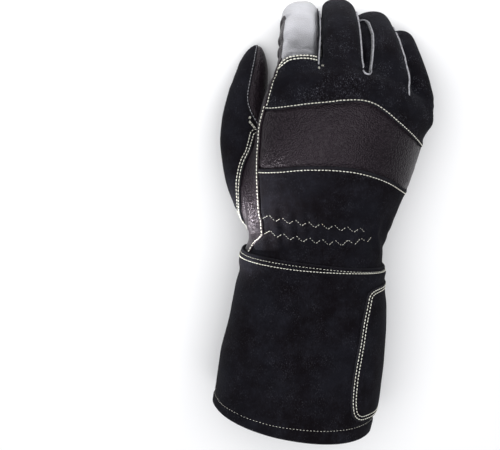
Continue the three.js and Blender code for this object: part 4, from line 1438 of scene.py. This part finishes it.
def hand_surface():
    """The hand's outer surface with its folds, and the fields that divide it."""
    volume = hand_volume()
    points, quads = surface_nets(volume)
    points = settled(points, quads, volume, SETTLE_ROUNDS)
    faces = in_triangles(points, quads)
    at, _, _, _, _ = section_place(points, HAND_TABLE)
    surface = surface_of(points, faces).with_values(at=at).cut(HAND_TABLE[0, 0] + HAND_END - at)
    points = surface.points.copy()
    strips = {name: strip_field(points, name) for name in STRIPS}
    index_side = side_gap(points, "index", 1) - side_gap(points, "middle", -1)
    values = {
        "strips": np.minimum.reduce(list(strips.values())),
        **strips,
        "thumb": thumb_area_field(points),
        "thumb_suede": thumb_suede_field(points),
        "back": back_field(points),
        "index": largest(-line_field(points, INDEX_LOW), index_side),
        "knuckles": -line_field(points, BAND_TOP),
        "band": -line_field(points, BAND_LOW),
        "heel": heel_field(points),
        "heel_plan": outline_field(points, HEEL_OUTLINE),
    }
    surface = surface.with_values(**values)
    return surface.moved(hand_relief(points))


hand = hand_surface()


def area(surface, *conditions):
    """The part of a surface inside all conditions: a field's name, a side and a level."""
    for name, side, level in conditions:
        surface = surface.cut(side * (surface[name] - level))
    return surface


STRIP_GAP = 0.15  # between a strip and the panels beside it
NOT_STRIP = ("strips", -1, 0.0)
BESIDE_STRIP = ("strips", -1, STRIP_GAP)
IN_THUMB = ("thumb", 1, 0.0)
NOT_THUMB = ("thumb", -1, 0.0)
IN_BACK = ("back", 1, 0.0)
NOT_INDEX = ("index", -1, 0.0)


def seam(name, *conditions):
    """The zero lines of a named field inside some conditions."""
    surface = area(hand, *conditions)
    return lines_of(surface, surface[name])


seam_band_top = seam("knuckles", NOT_STRIP, NOT_THUMB, IN_BACK, NOT_INDEX)
seam_band_low = seam("band", NOT_STRIP, NOT_THUMB, IN_BACK, NOT_INDEX)
seam_index = seam("index", NOT_STRIP, NOT_THUMB, IN_BACK)
seam_back = seam("back", NOT_STRIP, NOT_THUMB)
seam_thumb = seam("thumb", NOT_STRIP)
seam_thumb_suede = seam("thumb_suede", IN_THUMB, NOT_STRIP)
seam_strips = {name: seam(name) for name in STRIPS}
seam_heel = seam("heel_plan", ("z", 1, HEEL_TOP_Z))


LEAST_ROWS = 5


def kept(lines, test):
    """The stretches of lines where a test on their rows holds."""
    pieces = []
    for line in lines:
        good = test(line)
        turns = np.flatnonzero(good[1:] != good[:-1]) + 1
        for piece, fine in zip(np.split(line, turns), np.split(good, turns)):
            if fine[0] and len(piece) > LEAST_ROWS:
                pieces.append(piece.copy())
    return pieces


INDEX_COLUMN = hand.names.index("index")
BACK_COLUMN = hand.names.index("back")
FINGERS_Y = 72.0  # the back's outer seam is one between palm and fingers from here
SIDE_END_Y = 108.0  # the seam beside the thumb ends here, on the index finger
SIDE_TURN_Y = 81.0  # above this the seam beside the thumb is stitched on the knuckle panel
OUTER_FROM_X = 20.0
INDEX_MARGIN = 0.5


def on_thumb_side(rows):
    return (rows[:, 0] < 0) & (rows[:, INDEX_COLUMN] > -INDEX_MARGIN) & (rows[:, 1] < SIDE_END_Y)


def on_outer_side(rows):
    return (rows[:, 0] > OUTER_FROM_X) & (rows[:, 1] < FINGERS_Y)


def on_fingers(rows):
    beyond = (rows[:, 0] > 0) | (rows[:, 1] > SIDE_END_Y)
    return (rows[:, 1] >= FINGERS_Y) & (rows[:, INDEX_COLUMN] > INDEX_MARGIN) & beyond


def on_index_base(rows):
    return (rows[:, 0] < INDEX_LOW_END_X) & (rows[:, 1] < BACK_END_Y)


seam_side = kept(seam_back, on_thumb_side)
seam_outer = kept(seam_back, on_outer_side)
seam_fingers = kept(seam_back, on_fingers)
seam_index_low = kept(seam_index, on_index_base)

# Kinds of edges, each a height for a distance from the seam
OVER_LIFT = 0.75
OVER_RISE = (5.5, 0.6)  # distances between which a lapping edge rises
OVER_PRESS = 0.25
OVER_PRESS_END = 0.7
UNDER_DIP = 0.75
UNDER_END = 3.2
TUCK_DIP = 0.35
TUCK_END = 1.8
RAW_LIFT = 0.55
RAW_END = 2.4
RAW_HOLLOW = (-0.2, 3.4, 1.2)  # behind the turned edge: height, distance and width
PUCKER = 0.22
PUCKER_SIZE = 4.6
PUCKER_AT = 2.5
PUCKER_WIDTH = 4.0
PATCH_PUCKER = 0.2


def over(distance):
    """A lapping edge: raised, and pressed down along its stitches."""
    pressed = OVER_PRESS * smoothstep(OVER_PRESS_END, 0.0, distance)
    return OVER_LIFT * smoothstep(*OVER_RISE, distance) - pressed


def under(distance):
    """An edge that runs under another."""
    return -UNDER_DIP * smoothstep(UNDER_END, 0.0, distance)


def tucked(distance):
    """The edge of the thin leather on the index finger, which dips less."""
    return -TUCK_DIP * smoothstep(TUCK_END, 0.0, distance)


def raw(distance):
    """An edge turned out along a seam."""
    return RAW_LIFT * smoothstep(RAW_END, 0.0, distance) + ridge(distance, *RAW_HOLLOW)


def pucker(points, distance, size):
    """Small waves that the stitches draw beside a seam."""
    return noise(points, PUCKER_SIZE, 21) * ridge(distance, size, PUCKER_AT, PUCKER_WIDTH)


# Distances of the rows of stitches from their seams
THUMB_ROWS = (1.0, 3.1)
THUMB_SUEDE_ROWS = (0.9,)
SIDE_ROWS = (1.0,)
UPPER_SIDE_ROWS = (0.9,)
INDEX_ROWS = (0.9, 2.7)
BAND_TOP_ROWS = (1.1,)
BAND_LOW_ROWS = (2.3,)
HEEL_ROWS = (1.3, 3.7)
CUFF_PATCH_ROWS = (1.3, 3.5)

# Panels: conditions with the level of each cut, the seams with their kind of edge, rows for grooves
REST = 1.6  # an edge that lies under another runs on this far
INDEX_REST = 0.6
PANELS = {
    "thumb_back_suede": dict(
        cuts=[NOT_STRIP, IN_THUMB, ("thumb_suede", 1, 0.0)],
        edges=[(seam_thumb, over), (seam_thumb_suede, over)],
        rows=[(seam_thumb, THUMB_ROWS), (seam_thumb_suede, THUMB_SUEDE_ROWS)],
        material=CALM_SUEDE, slot="suede",
    ),
    "thumb_front_leather": dict(
        cuts=[NOT_STRIP, IN_THUMB, ("thumb_suede", -1, -REST)],
        edges=[(seam_thumb, over), (seam_thumb_suede, under)],
        rows=[(seam_thumb, THUMB_ROWS)],
        material=GRAIN_LEATHER, slot="leather",
    ),
    "palm_leather": dict(
        cuts=[BESIDE_STRIP, ("thumb", -1, -REST), ("back", -1, 0.0)],
        edges=[(seam_thumb, under), (seam_side, over), (seam_outer, over), (seam_fingers, raw)],
        rows=[(seam_side, SIDE_ROWS)],
        material=GRAIN_LEATHER, slot="leather",
    ),
    "index_back_leather": dict(
        cuts=[BESIDE_STRIP, IN_BACK, ("index", 1, INDEX_REST)],
        edges=[(seam_index_low, tucked)], rows=[],
        material=INDEX_REFLECTION_LEATHER, slot="index_leather",
    ),
    "knuckle_panel_suede": dict(
        cuts=[BESIDE_STRIP, NOT_THUMB, IN_BACK, NOT_INDEX, ("knuckles", 1, 0.0)],
        edges=[(seam_index_low, over), (seam_band_top, over), (seam_side, under), (seam_outer, under),
               (seam_fingers, raw)],
        rows=[(seam_index_low, INDEX_ROWS), (seam_band_top, BAND_TOP_ROWS)],
        material=SUEDE, slot="suede",
    ),
    "back_band_leather": dict(
        cuts=[NOT_THUMB, ("back", 1, REST), ("knuckles", -1, -REST), ("band", 1, REST)],
        edges=[(seam_band_top, under), (seam_band_low, under), (seam_side, under), (seam_outer, under)],
        rows=[],
        material=GRAIN_LEATHER, slot="leather",
    ),
    "wrist_panel_suede": dict(
        cuts=[NOT_THUMB, IN_BACK, ("band", -1, 0.0)],
        edges=[(seam_band_low, over), (seam_side, under), (seam_outer, under)],
        rows=[(seam_band_low, BAND_LOW_ROWS)],
        material=CALM_SUEDE, slot="suede",
    ),
}
for name in STRIPS:
    PANELS[f"fourchette_{name}"] = dict(
        cuts=[(name, 1, -STRIP_GAP)], edges=[(seam_strips[name], raw)], rows=[], material=SUEDE, slot="suede",
    )
GROOVE = 0.22
GROOVE_HALF = 0.6
EDGE_FADE = 1.2


def build_panel(name, cuts, edges, rows, material, slot):
    """A panel of the hand with its edges and the grooves under its stitches; returns its outer surface."""
    surface = area(hand, *cuts)
    distances = {id(lines): distance_to(surface.points, lines) for lines, _ in edges}
    lift = np.zeros(len(surface.data))
    nearest = np.full(len(surface.data), FAR)
    for lines, kind in edges:
        distance = distances[id(lines)]
        lift += kind(distance) + pucker(surface.points, distance, PUCKER)
        nearest = np.minimum(nearest, distance)
    for lines, offsets in rows:
        for offset in offsets:
            lift += ridge(distances[id(lines)], -GROOVE, offset, GROOVE_HALF)
    surface = surface.moved(lift)
    thing = solid_panel(name, surface, LEATHER, material, bell(nearest, EDGE_FADE))
    stand_for(name)
    return surface


built = {name: build_panel(name, **spec) for name, spec in PANELS.items()}


def rows_on(surface, distance, offsets):
    return [row for offset in offsets for row in lines_of(surface, distance - offset)]


def stitch_rows(panel, lines, offsets):
    """Lines at some distances from a seam, on the panel that carries them."""
    surface = built[panel]
    return rows_on(surface, distance_to(surface.points, lines), offsets)


lower_side = kept(seam_side, lambda rows: rows[:, 1] < SIDE_TURN_Y)
upper_side = kept(seam_side, lambda rows: rows[:, 1] > SIDE_TURN_Y)
# Stitches: material, rows as panel, seam and distances, and what differs from plain stitches
STITCHES = {
    "stitches_band_top": (THREAD, [("knuckle_panel_suede", seam_band_top, BAND_TOP_ROWS)], dict(seed=1)),
    "stitches_band_low": (THREAD, [("wrist_panel_suede", seam_band_low, BAND_LOW_ROWS)], dict(seed=2)),
    "stitches_index": (
        THREAD, [("knuckle_panel_suede", seam_index_low, INDEX_ROWS)], dict(length=1.9, radius=0.46, seed=3),
    ),
    "stitches_side": (
        THREAD,
        [("palm_leather", lower_side, SIDE_ROWS), ("knuckle_panel_suede", upper_side, UPPER_SIDE_ROWS)],
        dict(radius=0.38, seed=4),
    ),
    "stitches_thumb": (
        THREAD,
        [("thumb_back_suede", seam_thumb, THUMB_ROWS), ("thumb_front_leather", seam_thumb, THUMB_ROWS)],
        dict(seed=5),
    ),
    "stitches_thumb_suede": (
        RAW_EDGE,
        [("thumb_back_suede", seam_thumb_suede, THUMB_SUEDE_ROWS)],
        dict(pitch=2.4, length=1.7, radius=0.24, seed=6),
    ),
}
for name, (material, rows, style) in STITCHES.items():
    lines = [line for row in rows for line in stitch_rows(*row)]
    add_stitches(name, lines, material, **style)

# Zigzags over the elastic, and the tacks at the thumb and beside the index finger
ZIGZAGS = (
    [(-41.5, 8.2), (-10, 4.0), (14, 0.8), (27, -1.0)],
    [(-40.5, -2.4), (-12, -6.6), (14, -8.6), (32, -6.6)],
)
ZIGZAG_STEP = 4.25
ZIGZAG_REACH = 1.75
ZIGZAG_PARTS = np.linspace(0.04, 0.96, 9)  # places along a leg, which stops short of the turns
ABOVE = 200.0  # a height above everything
TACK_HALF = 1.3
TACK_THREADS = (-0.35, 0.35)
# Tacks: panel, x, y and angle in plan
TACKS = [
    ("thumb_back_suede", -49.7, 72.2, 70), ("thumb_back_suede", -49.5, 68.6, -50),
    ("thumb_back_suede", -48.1, 66.9, -50), ("thumb_back_suede", -46.7, 65.2, -50),
    ("knuckle_panel_suede", -1.9, 107.6, 60), ("knuckle_panel_suede", -4.2, 105.4, -30),
]


def dropped(surface, plan):
    """Points and normals where vertical lines through places in plan meet a surface from above."""
    tree = BVHTree.FromPolygons(surface.points.tolist(), surface.faces.tolist())
    rows = []
    for x, y in plan:
        place, normal, _, _ = tree.ray_cast(Vector((x, y, ABOVE)), Vector((0, 0, -1)))
        if place is not None:
            rows.append([*place, *(normal if normal.z > 0 else -normal)])
    return np.array(rows)


def zigzag_legs():
    """The rising and the falling legs of the zigzags, as lines on the wrist panel."""
    legs = ([], [])
    for centre in ZIGZAGS:
        middle = smooth_line(centre)
        marks = resample(np.column_stack([middle, np.zeros(len(middle))]), ZIGZAG_STEP)
        for k, (start, end) in enumerate(zip(marks[:-1], marks[1:])):
            reach = np.array([0, ZIGZAG_REACH if k % 2 else -ZIGZAG_REACH])
            leg = [mix(start[:2] + reach, end[:2] - reach, part) for part in ZIGZAG_PARTS]
            line = dropped(built["wrist_panel_suede"], leg)
            if len(line) > 4:
                legs[k % 2].append(line)
    return legs


def tack_lines():
    """Two threads side by side for each tack."""
    lines = []
    for panel, x, y, angle in TACKS:
        along = np.array([math.cos(math.radians(angle)), math.sin(math.radians(angle))])
        side = np.array([-along[1], along[0]])
        for offset in TACK_THREADS:
            middle = np.array([x, y]) + side * offset
            marks = [middle + along * t for t in np.linspace(-TACK_HALF, TACK_HALF, 6)]
            line = dropped(built[panel], marks)
            if len(line) > 3:
                lines.append(line)
    return lines


RISING = dict(pitch=1.85, length=1.3, radius=0.18, seed=12, sink=0.04)
FALLING = dict(pitch=1.85, length=1.05, radius=0.14, seed=13, sink=0.06)
legs_up, legs_down = zigzag_legs()
add_stitches("stitches_zigzag_rising", legs_up, THREAD, **RISING)
add_stitches("stitches_zigzag_falling", legs_down, THREAD, **FALLING)
add_stitches("stitches_tack", tack_lines(), THREAD, pitch=2.6, length=1.9, radius=0.22, seed=14)

# Raw edges standing along the finger seams
RAW_HALF = 0.34
RAW_HEIGHT = 0.95
RAW_SINK = 0.8
BACK_MARGIN = 0.3


def beside_strip(rows, name):
    """Whether rows lie on the edges of a strip that show a raw edge."""
    shown = rows[:, BACK_COLUMN] < BACK_MARGIN
    if name == "ring_little":
        shown &= rows[:, 0] < SLOTS[name][0][0][0]
    return shown


# The raw edge beside the index finger: place along it, part of its half width, height over its middle line
INDEX_RIB = np.array([(20, 0.9, 8.0), (35, 0.925, 7.3), (50, 0.945, 6.7), (70, 0.955, 6.4), (82, 0.93, 6.6)])
RIB_LEAN = 0.35


def index_rib():
    """The raw edge along the index finger's side, which leans towards the middle finger."""
    finger = FINGERS["index"]
    rows = []
    for along in np.arange(INDEX_RIB[0, 0], INDEX_RIB[-1, 0], 1.0):
        share, up = (float(v) for v in columns_at(INDEX_RIB, along))
        side = share * mix(*finger["wide"], along / finger["length"]) / 2
        place = finger_point(finger, along, side, up)
        rows.append([*place, *(finger_point(finger, along, side + RIB_LEAN, up + 1) - place)])
    return np.array(rows)


add_rib("raw_edge_index", [index_rib()], half=0.58, height=1.4, sink=1.8, material=RAW_EDGE)

for name in ("middle_ring", "ring_little"):
    upper = kept(seam_strips[name], lambda rows: beside_strip(rows, name))
    add_rib(f"raw_edge_{name}", upper, RAW_HALF, RAW_HEIGHT, RAW_SINK, RAW_EDGE)

# Inside the rounded seam the ring finger's leather shows its thickness
SLOT_LINE = np.array(SLOTS["middle_ring"][0], float)
WALL_IN = 0.95
WALL_FROM = 1.2  # beyond the slot's middle line


def on_ring_side(rows):
    middle = np.interp(rows[:, 1], SLOT_LINE[:, 1], SLOT_LINE[:, 0])
    return beside_strip(rows, "middle_ring") & (rows[:, 0] > middle + WALL_FROM)


wall_lines = kept(seam_strips["middle_ring"], on_ring_side)
for line in wall_lines:
    line[:, 0] -= WALL_IN
add_rib("raw_edge_ring_wall", wall_lines, half=0.85, height=0.5, sink=1.2, material=SPLIT_EDGE)

# Where the raw edge round each fingertip starts, as a part of the finger's length
CAP_EDGES = {"middle": 0.8, "ring": 0.8, "little": 0.42}
CAP_NEAR = 1.5


def cap_lines():
    """The stretches of the finger seams that run round the fingertips."""
    found = []
    for name, share in CAP_EDGES.items():
        finger = FINGERS[name]

        def at_tip(rows):
            along, _, _ = finger_place(rows[:, :3], finger)
            return (along > share * finger["length"]) & (finger_field(rows[:, :3], finger) < CAP_NEAR)

        found += kept(seam_fingers, at_tip)
    return found


add_rib("raw_edge_caps", cap_lines(), half=0.45, height=0.9, sink=RAW_SINK, material=RAW_EDGE)

# Patches sewn on top
PATCH_LIFT = 0.35
PATCH_ROUND = 0.9
PATCH_GROOVE = 0.25


def add_patch(node, surface, edge, beside, offsets):
    """A patch, from its distances to its edge and to its seam; returns the lines of its stitches."""
    lift = PATCH_LIFT + PATCH - PATCH_LIFT * smoothstep(PATCH_ROUND, 0.0, edge)
    lift += pucker(surface.points, beside, PATCH_PUCKER)
    for offset in offsets:
        lift += ridge(beside, -PATCH_GROOVE, offset, GROOVE_HALF)
    surface = surface.moved(lift)
    thing = solid_panel(node, surface, PATCH, CALM_SUEDE, bell(edge, EDGE_FADE))
    stand_for(node)
    return rows_on(surface, beside, offsets)


heel = area(hand, ("heel", 1, 0.0), NOT_STRIP)
heel_edge = distance_to(heel.points, seam("heel"))
heel_rows = add_patch("palm_heel_patch", heel, heel_edge, distance_to(heel.points, seam_heel), HEEL_ROWS)
add_stitches("stitches_heel", heel_rows, THREAD, seed=7)

# The cuff: a grid round its outer surface
AROUND = 300
ALONG = 108
CUFF_TABLE = smooth_table(CUFF)
CUFF_HALF = np.array([55, 43])  # half sizes that the even steps round it are worked out for
SECTION_Y = np.linspace(CUFF[0, 0], CUFF[-1, 0], ALONG)


def signed_power(value, power):
    """A superellipse's coordinate from the cosine or the sine of an angle."""
    return np.sign(value) * np.abs(value) ** (2 / power)


def even_angles(count, power):
    """Angles that lie at even steps round a superellipse."""
    fine = np.linspace(0, 2 * math.pi, 7201)
    line = np.column_stack([signed_power(np.cos(fine), power), signed_power(np.sin(fine), power)])
    lengths = lengths_along(line * CUFF_HALF)
    return np.interp(np.arange(count) / count * lengths[-1], lengths, fine)


ANGLES = even_angles(AROUND, HAND_SQUARE)


def cuff_grid(inset):
    """Points of the cuff's surface at a depth, rings from the hem to the top."""
    across = signed_power(np.cos(ANGLES), HAND_SQUARE)
    up = signed_power(np.sin(ANGLES), HAND_SQUARE)
    left, right, low, high, slope, bow = (value[:, None] for value in columns_at(CUFF_TABLE, SECTION_Y))
    half = (right - left) / 2 - inset
    x = (left + right) / 2 + half * across
    y = SECTION_Y[:, None] + slope * half * across + bow * across**2
    z = (low + high) / 2 + ((high - low) / 2 - inset) * up
    z = np.maximum(z, rest_height(x) + inset)
    return np.stack([x, y, z], axis=-1)


def grid_faces(rings, around, closed=False):
    """Faces between rings of points; a closed grid joins its last ring to its first."""
    ring = np.arange(rings if closed else rings - 1)[:, None]
    here = np.arange(around)[None, :]
    following = (here + 1) % around
    low, high = ring * around, (ring + 1) % rings * around
    corners = (low + here, high + here, high + following, low + following)
    return np.column_stack([part.ravel() for part in corners])


HEM_TOP = 8.5  # height of the hem's thick part over its edge
TOP_ROW = 1.5  # the fine row under the top edge
# Rows of stitches that slope: distances from the edge at both ends, and the x of these ends
HEM_ROW = (5.2, 8.4, -75, 30)
LOW_ROW = (4.1, 2.2, -25, 35)


def sloping_row(x, first, last, from_x, to_x):
    return mix(first, last, smoothstep(from_x, to_x, x))


outer = cuff_grid(0.0)
cuff_points = outer.reshape(-1, 3)
hem_row = sloping_row(cuff_points[:, 0], *HEM_ROW)
low_row = sloping_row(cuff_points[:, 0], *LOW_ROW)
from_top = np.repeat(CUFF[-1, 0] - SECTION_Y, AROUND)
from_hem = np.repeat(SECTION_Y - CUFF[0, 0], AROUND)
triangles = in_triangles(cuff_points, grid_faces(ALONG, AROUND))
flat_cuff = surface_of(cuff_points, triangles).with_values(from_top=from_top, from_hem=from_hem)
CUFF_WAVE = 0.9
CUFF_WAVE_SIZE = 34.0
CUFF_WAVE_STRETCH = np.array([1, 0.6, 1])
CUFF_RIPPLE = 0.35
CUFF_RIPPLE_SIZE = 13.0
CUFF_STILL = 14.0  # the waves fade out within this of the top edge
HEM_WAVE = 0.45  # part of the waves that the hem keeps
HEM_STILL = 12.0  # and are less within this of the hem's edge
TOP_GROOVE = 0.3
TOP_GROOVE_WIDTH = 0.9
# Ridges by their distance from the top edge: height, place, width
TOP_BAND = (0.5, 2.8, 1.6)
TOP_HOLLOW = (-0.45, 6.5, 2.6)
HEM_LIFT = 0.6
HEM_FALL = (1.5, -2.5)  # from the hem's stitches, where its thick part ends
HEM_GROOVE = (-0.55, 0.0, 1.1)
CUFF_PUCKER_SIZE = 4.8
TOP_PUCKER = (0.28, 5.0, 5.0)
HEM_PUCKER = (0.28, 0.0, 4.0)


def cuff_relief(points, top, hem):
    """Soft waves of the cuff, the pressed rows of stitches and the thick hem."""
    lift = CUFF_WAVE * noise(points * CUFF_WAVE_STRETCH, CUFF_WAVE_SIZE, 41)
    lift += CUFF_RIPPLE * noise(points, CUFF_RIPPLE_SIZE, 42)
    lift *= smoothstep(0, CUFF_STILL, top) * mix(HEM_WAVE, 1, smoothstep(0, HEM_STILL, hem))
    for row in (TOP_ROW, low_row):
        lift += ridge(top, -TOP_GROOVE, row, TOP_GROOVE_WIDTH)
    lift += ridge(top, *TOP_BAND) + ridge(top, *TOP_HOLLOW)
    from_row = hem - hem_row
    lift += HEM_LIFT * smoothstep(*HEM_FALL, from_row) + ridge(from_row, *HEM_GROOVE)
    lift += noise(points, CUFF_PUCKER_SIZE, 43) * (ridge(top, *TOP_PUCKER) + ridge(from_row, *HEM_PUCKER))
    return lift


cuff = flat_cuff.moved(cuff_relief(cuff_points, from_top, from_hem))
TURN_STEPS = 5  # rings round the turned edges
TURN_BULGE = 0.42
INSIDE_WAVES = 0.7  # part of the outer surface's waves on the inner one
TURNED_EDGE_HIGHLIGHT = 0.6  # painted highlight: how strongly the turned edges are lightened


def turned_edge(start, end, way):
    """Rings that turn from the outer to the inner surface, bulging along Y."""
    wall = np.linalg.norm(start - end, axis=1)[:, None]
    rings = []
    for step in range(1, TURN_STEPS + 1):
        part = step / (TURN_STEPS + 1)
        bulge = TURN_BULGE * wall * math.sin(math.pi * part) * way
        rings.append(mix(start, end, part) + np.array([0, 1, 0]) * bulge)
    return np.stack(rings)


def add_cuff():
    """The cuff with its wall, its rounded top edge and the hem turned in."""
    rings = cuff.points.reshape(ALONG, AROUND, 3)
    deep = smoothstep(HEM_TOP + 4, HEM_TOP + 0.5, SECTION_Y - CUFF[0, 0])[:, None, None]
    inner = mix(cuff_grid(CUFF_WALL), cuff_grid(HEM_WALL), deep) + (rings - outer) * INSIDE_WAVES
    top = turned_edge(rings[-1], inner[-1], 1)
    bottom = turned_edge(rings[0], inner[0], -1)
    ordered = np.concatenate([bottom[::-1], rings, top, inner[::-1]])
    edge = np.zeros(ordered.shape[:2])
    # the turned edges get the painted edge highlight
    edge[:TURN_STEPS] = TURNED_EDGE_HIGHLIGHT
    edge[TURN_STEPS + ALONG : 2 * TURN_STEPS + ALONG] = TURNED_EDGE_HIGHLIGHT
    faces = grid_faces(len(ordered), AROUND, closed=True)
    thing = make_object("cuff_suede", ordered.reshape(-1, 3), faces, CALM_SUEDE, edge.ravel())
    stand_for("cuff_suede")


add_cuff()
top_lines = lines_of(cuff, cuff["from_top"] - low_row)
add_stitches("stitches_cuff_top", top_lines, THREAD, pitch=2.2, length=1.6, radius=0.27, seed=8)
edge_lines = lines_of(cuff, cuff["from_top"] - TOP_ROW)
add_stitches("stitches_cuff_edge", edge_lines, THREAD, length=1.3, radius=0.16, seed=11, sink=0.04)
hem_lines = lines_of(cuff, cuff["from_hem"] - hem_row)
add_stitches("stitches_hem", hem_lines, THREAD, length=1.3, radius=0.135, seed=9, sink=0.07)

with_patch = cuff.with_values(patch=cuff_patch_field(flat_cuff.points))
patch = with_patch.cut(with_patch["patch"])
patch_edge = distance_to(patch.points, lines_of(with_patch, with_patch["patch"]))
patch_rows = add_patch("cuff_side_patch", patch, patch_edge, patch_edge, CUFF_PATCH_ROWS)
add_stitches("stitches_cuff_patch", patch_rows, THREAD, seed=10)

# Floor, light and camera
AIM = np.array([-49.68, -2.07, 40.0])
CAMERA_DISTANCE = 800.0
CAMERA_TILT = math.radians(8.0)
SENSOR = 36.0
LENS = 83.48
FLOOR_HALF = 3.0  # in metres
FLOOR_COLOUR = (0.92, 0.92, 0.93, 1)
WORLD_COLOUR = (0.9, 0.92, 0.95, 1)
WORLD_STRENGTH = 0.28
# Panels of light: name, place, aim and sizes in millimetres, power, spread in degrees
LIGHTS = [
    ("overhead", (-60, 20, 900), (0, 10, 40), (1100, 1000), 10.6, 180),
    ("from_fingertips", (-30, 480, 60), (-15, 120, 50), (520, 110), 0.4, 180),
    ("before_fingertips", (-30, 230, 52), (-30, 245, 0), (360, 110), 0.4, 180),
    ("from_wrist_side", (-350, -250, 105), (-50, 3, 62), (40, 40), 0.032, 6),
]


def in_frame(point):
    return Vector((np.array(point, float) - PLAN_MIDDLE) * MM)


def add_floor():
    mesh = bpy.data.meshes.new("floor")
    corners = [(x * FLOOR_HALF, y * FLOOR_HALF, 0) for x, y in ((-1, -1), (1, -1), (1, 1), (-1, 1))]
    mesh.from_pydata(corners, [], [(0, 1, 2, 3)])
    n = Nodes("floor")
    n.constants(Base_Color=FLOOR_COLOUR, Roughness=0.9)
    mesh.materials.append(n.material)
    floor = bpy.data.objects.new("floor", mesh)
    bpy.context.scene.collection.objects.link(floor)


def put(thing, place, turn):
    """Puts a lamp or camera at a place in millimetres."""
    thing.location = in_frame(place)
    thing.rotation_mode = "QUATERNION"
    thing.rotation_quaternion = turn
    bpy.context.scene.collection.objects.link(thing)


def add_light(name, place, aim, size, power, spread):
    data = bpy.data.lights.new(name, "AREA")
    data.shape = "RECTANGLE"
    data.size, data.size_y = (side * MM for side in size)
    data.energy = power
    data.spread = math.radians(spread)
    lamp = bpy.data.objects.new(name, data)
    direction = in_frame(aim) - in_frame(place)
    put(lamp, place, direction.to_track_quat("-Z", "Y"))


def add_camera():
    data = bpy.data.cameras.new("camera")
    data.sensor_width = SENSOR
    data.lens = LENS
    camera = bpy.data.objects.new("camera", data)
    back = np.array([0, math.sin(CAMERA_TILT), math.cos(CAMERA_TILT)])
    put(camera, AIM + CAMERA_DISTANCE * back, camera_turn(back))
    bpy.context.scene.camera = camera


def camera_turn(back):
    """The turn of a camera that looks against back, with the fingertips up in the picture."""
    z = Vector(back).normalized()
    x = Vector((1, 0, 0))
    y = z.cross(x)
    return Matrix((x, y, z)).transposed().to_quaternion()


def add_world():
    world = bpy.data.worlds.new("studio")
    bpy.context.scene.world = world
    world.use_nodes = True
    inputs = world.node_tree.nodes["Background"].inputs
    inputs["Color"].default_value = WORLD_COLOUR
    inputs["Strength"].default_value = WORLD_STRENGTH


add_floor()
add_world()
bpy.context.scene.view_settings.view_transform = "Standard"
for light in LIGHTS:
    add_light(*light)
add_camera()
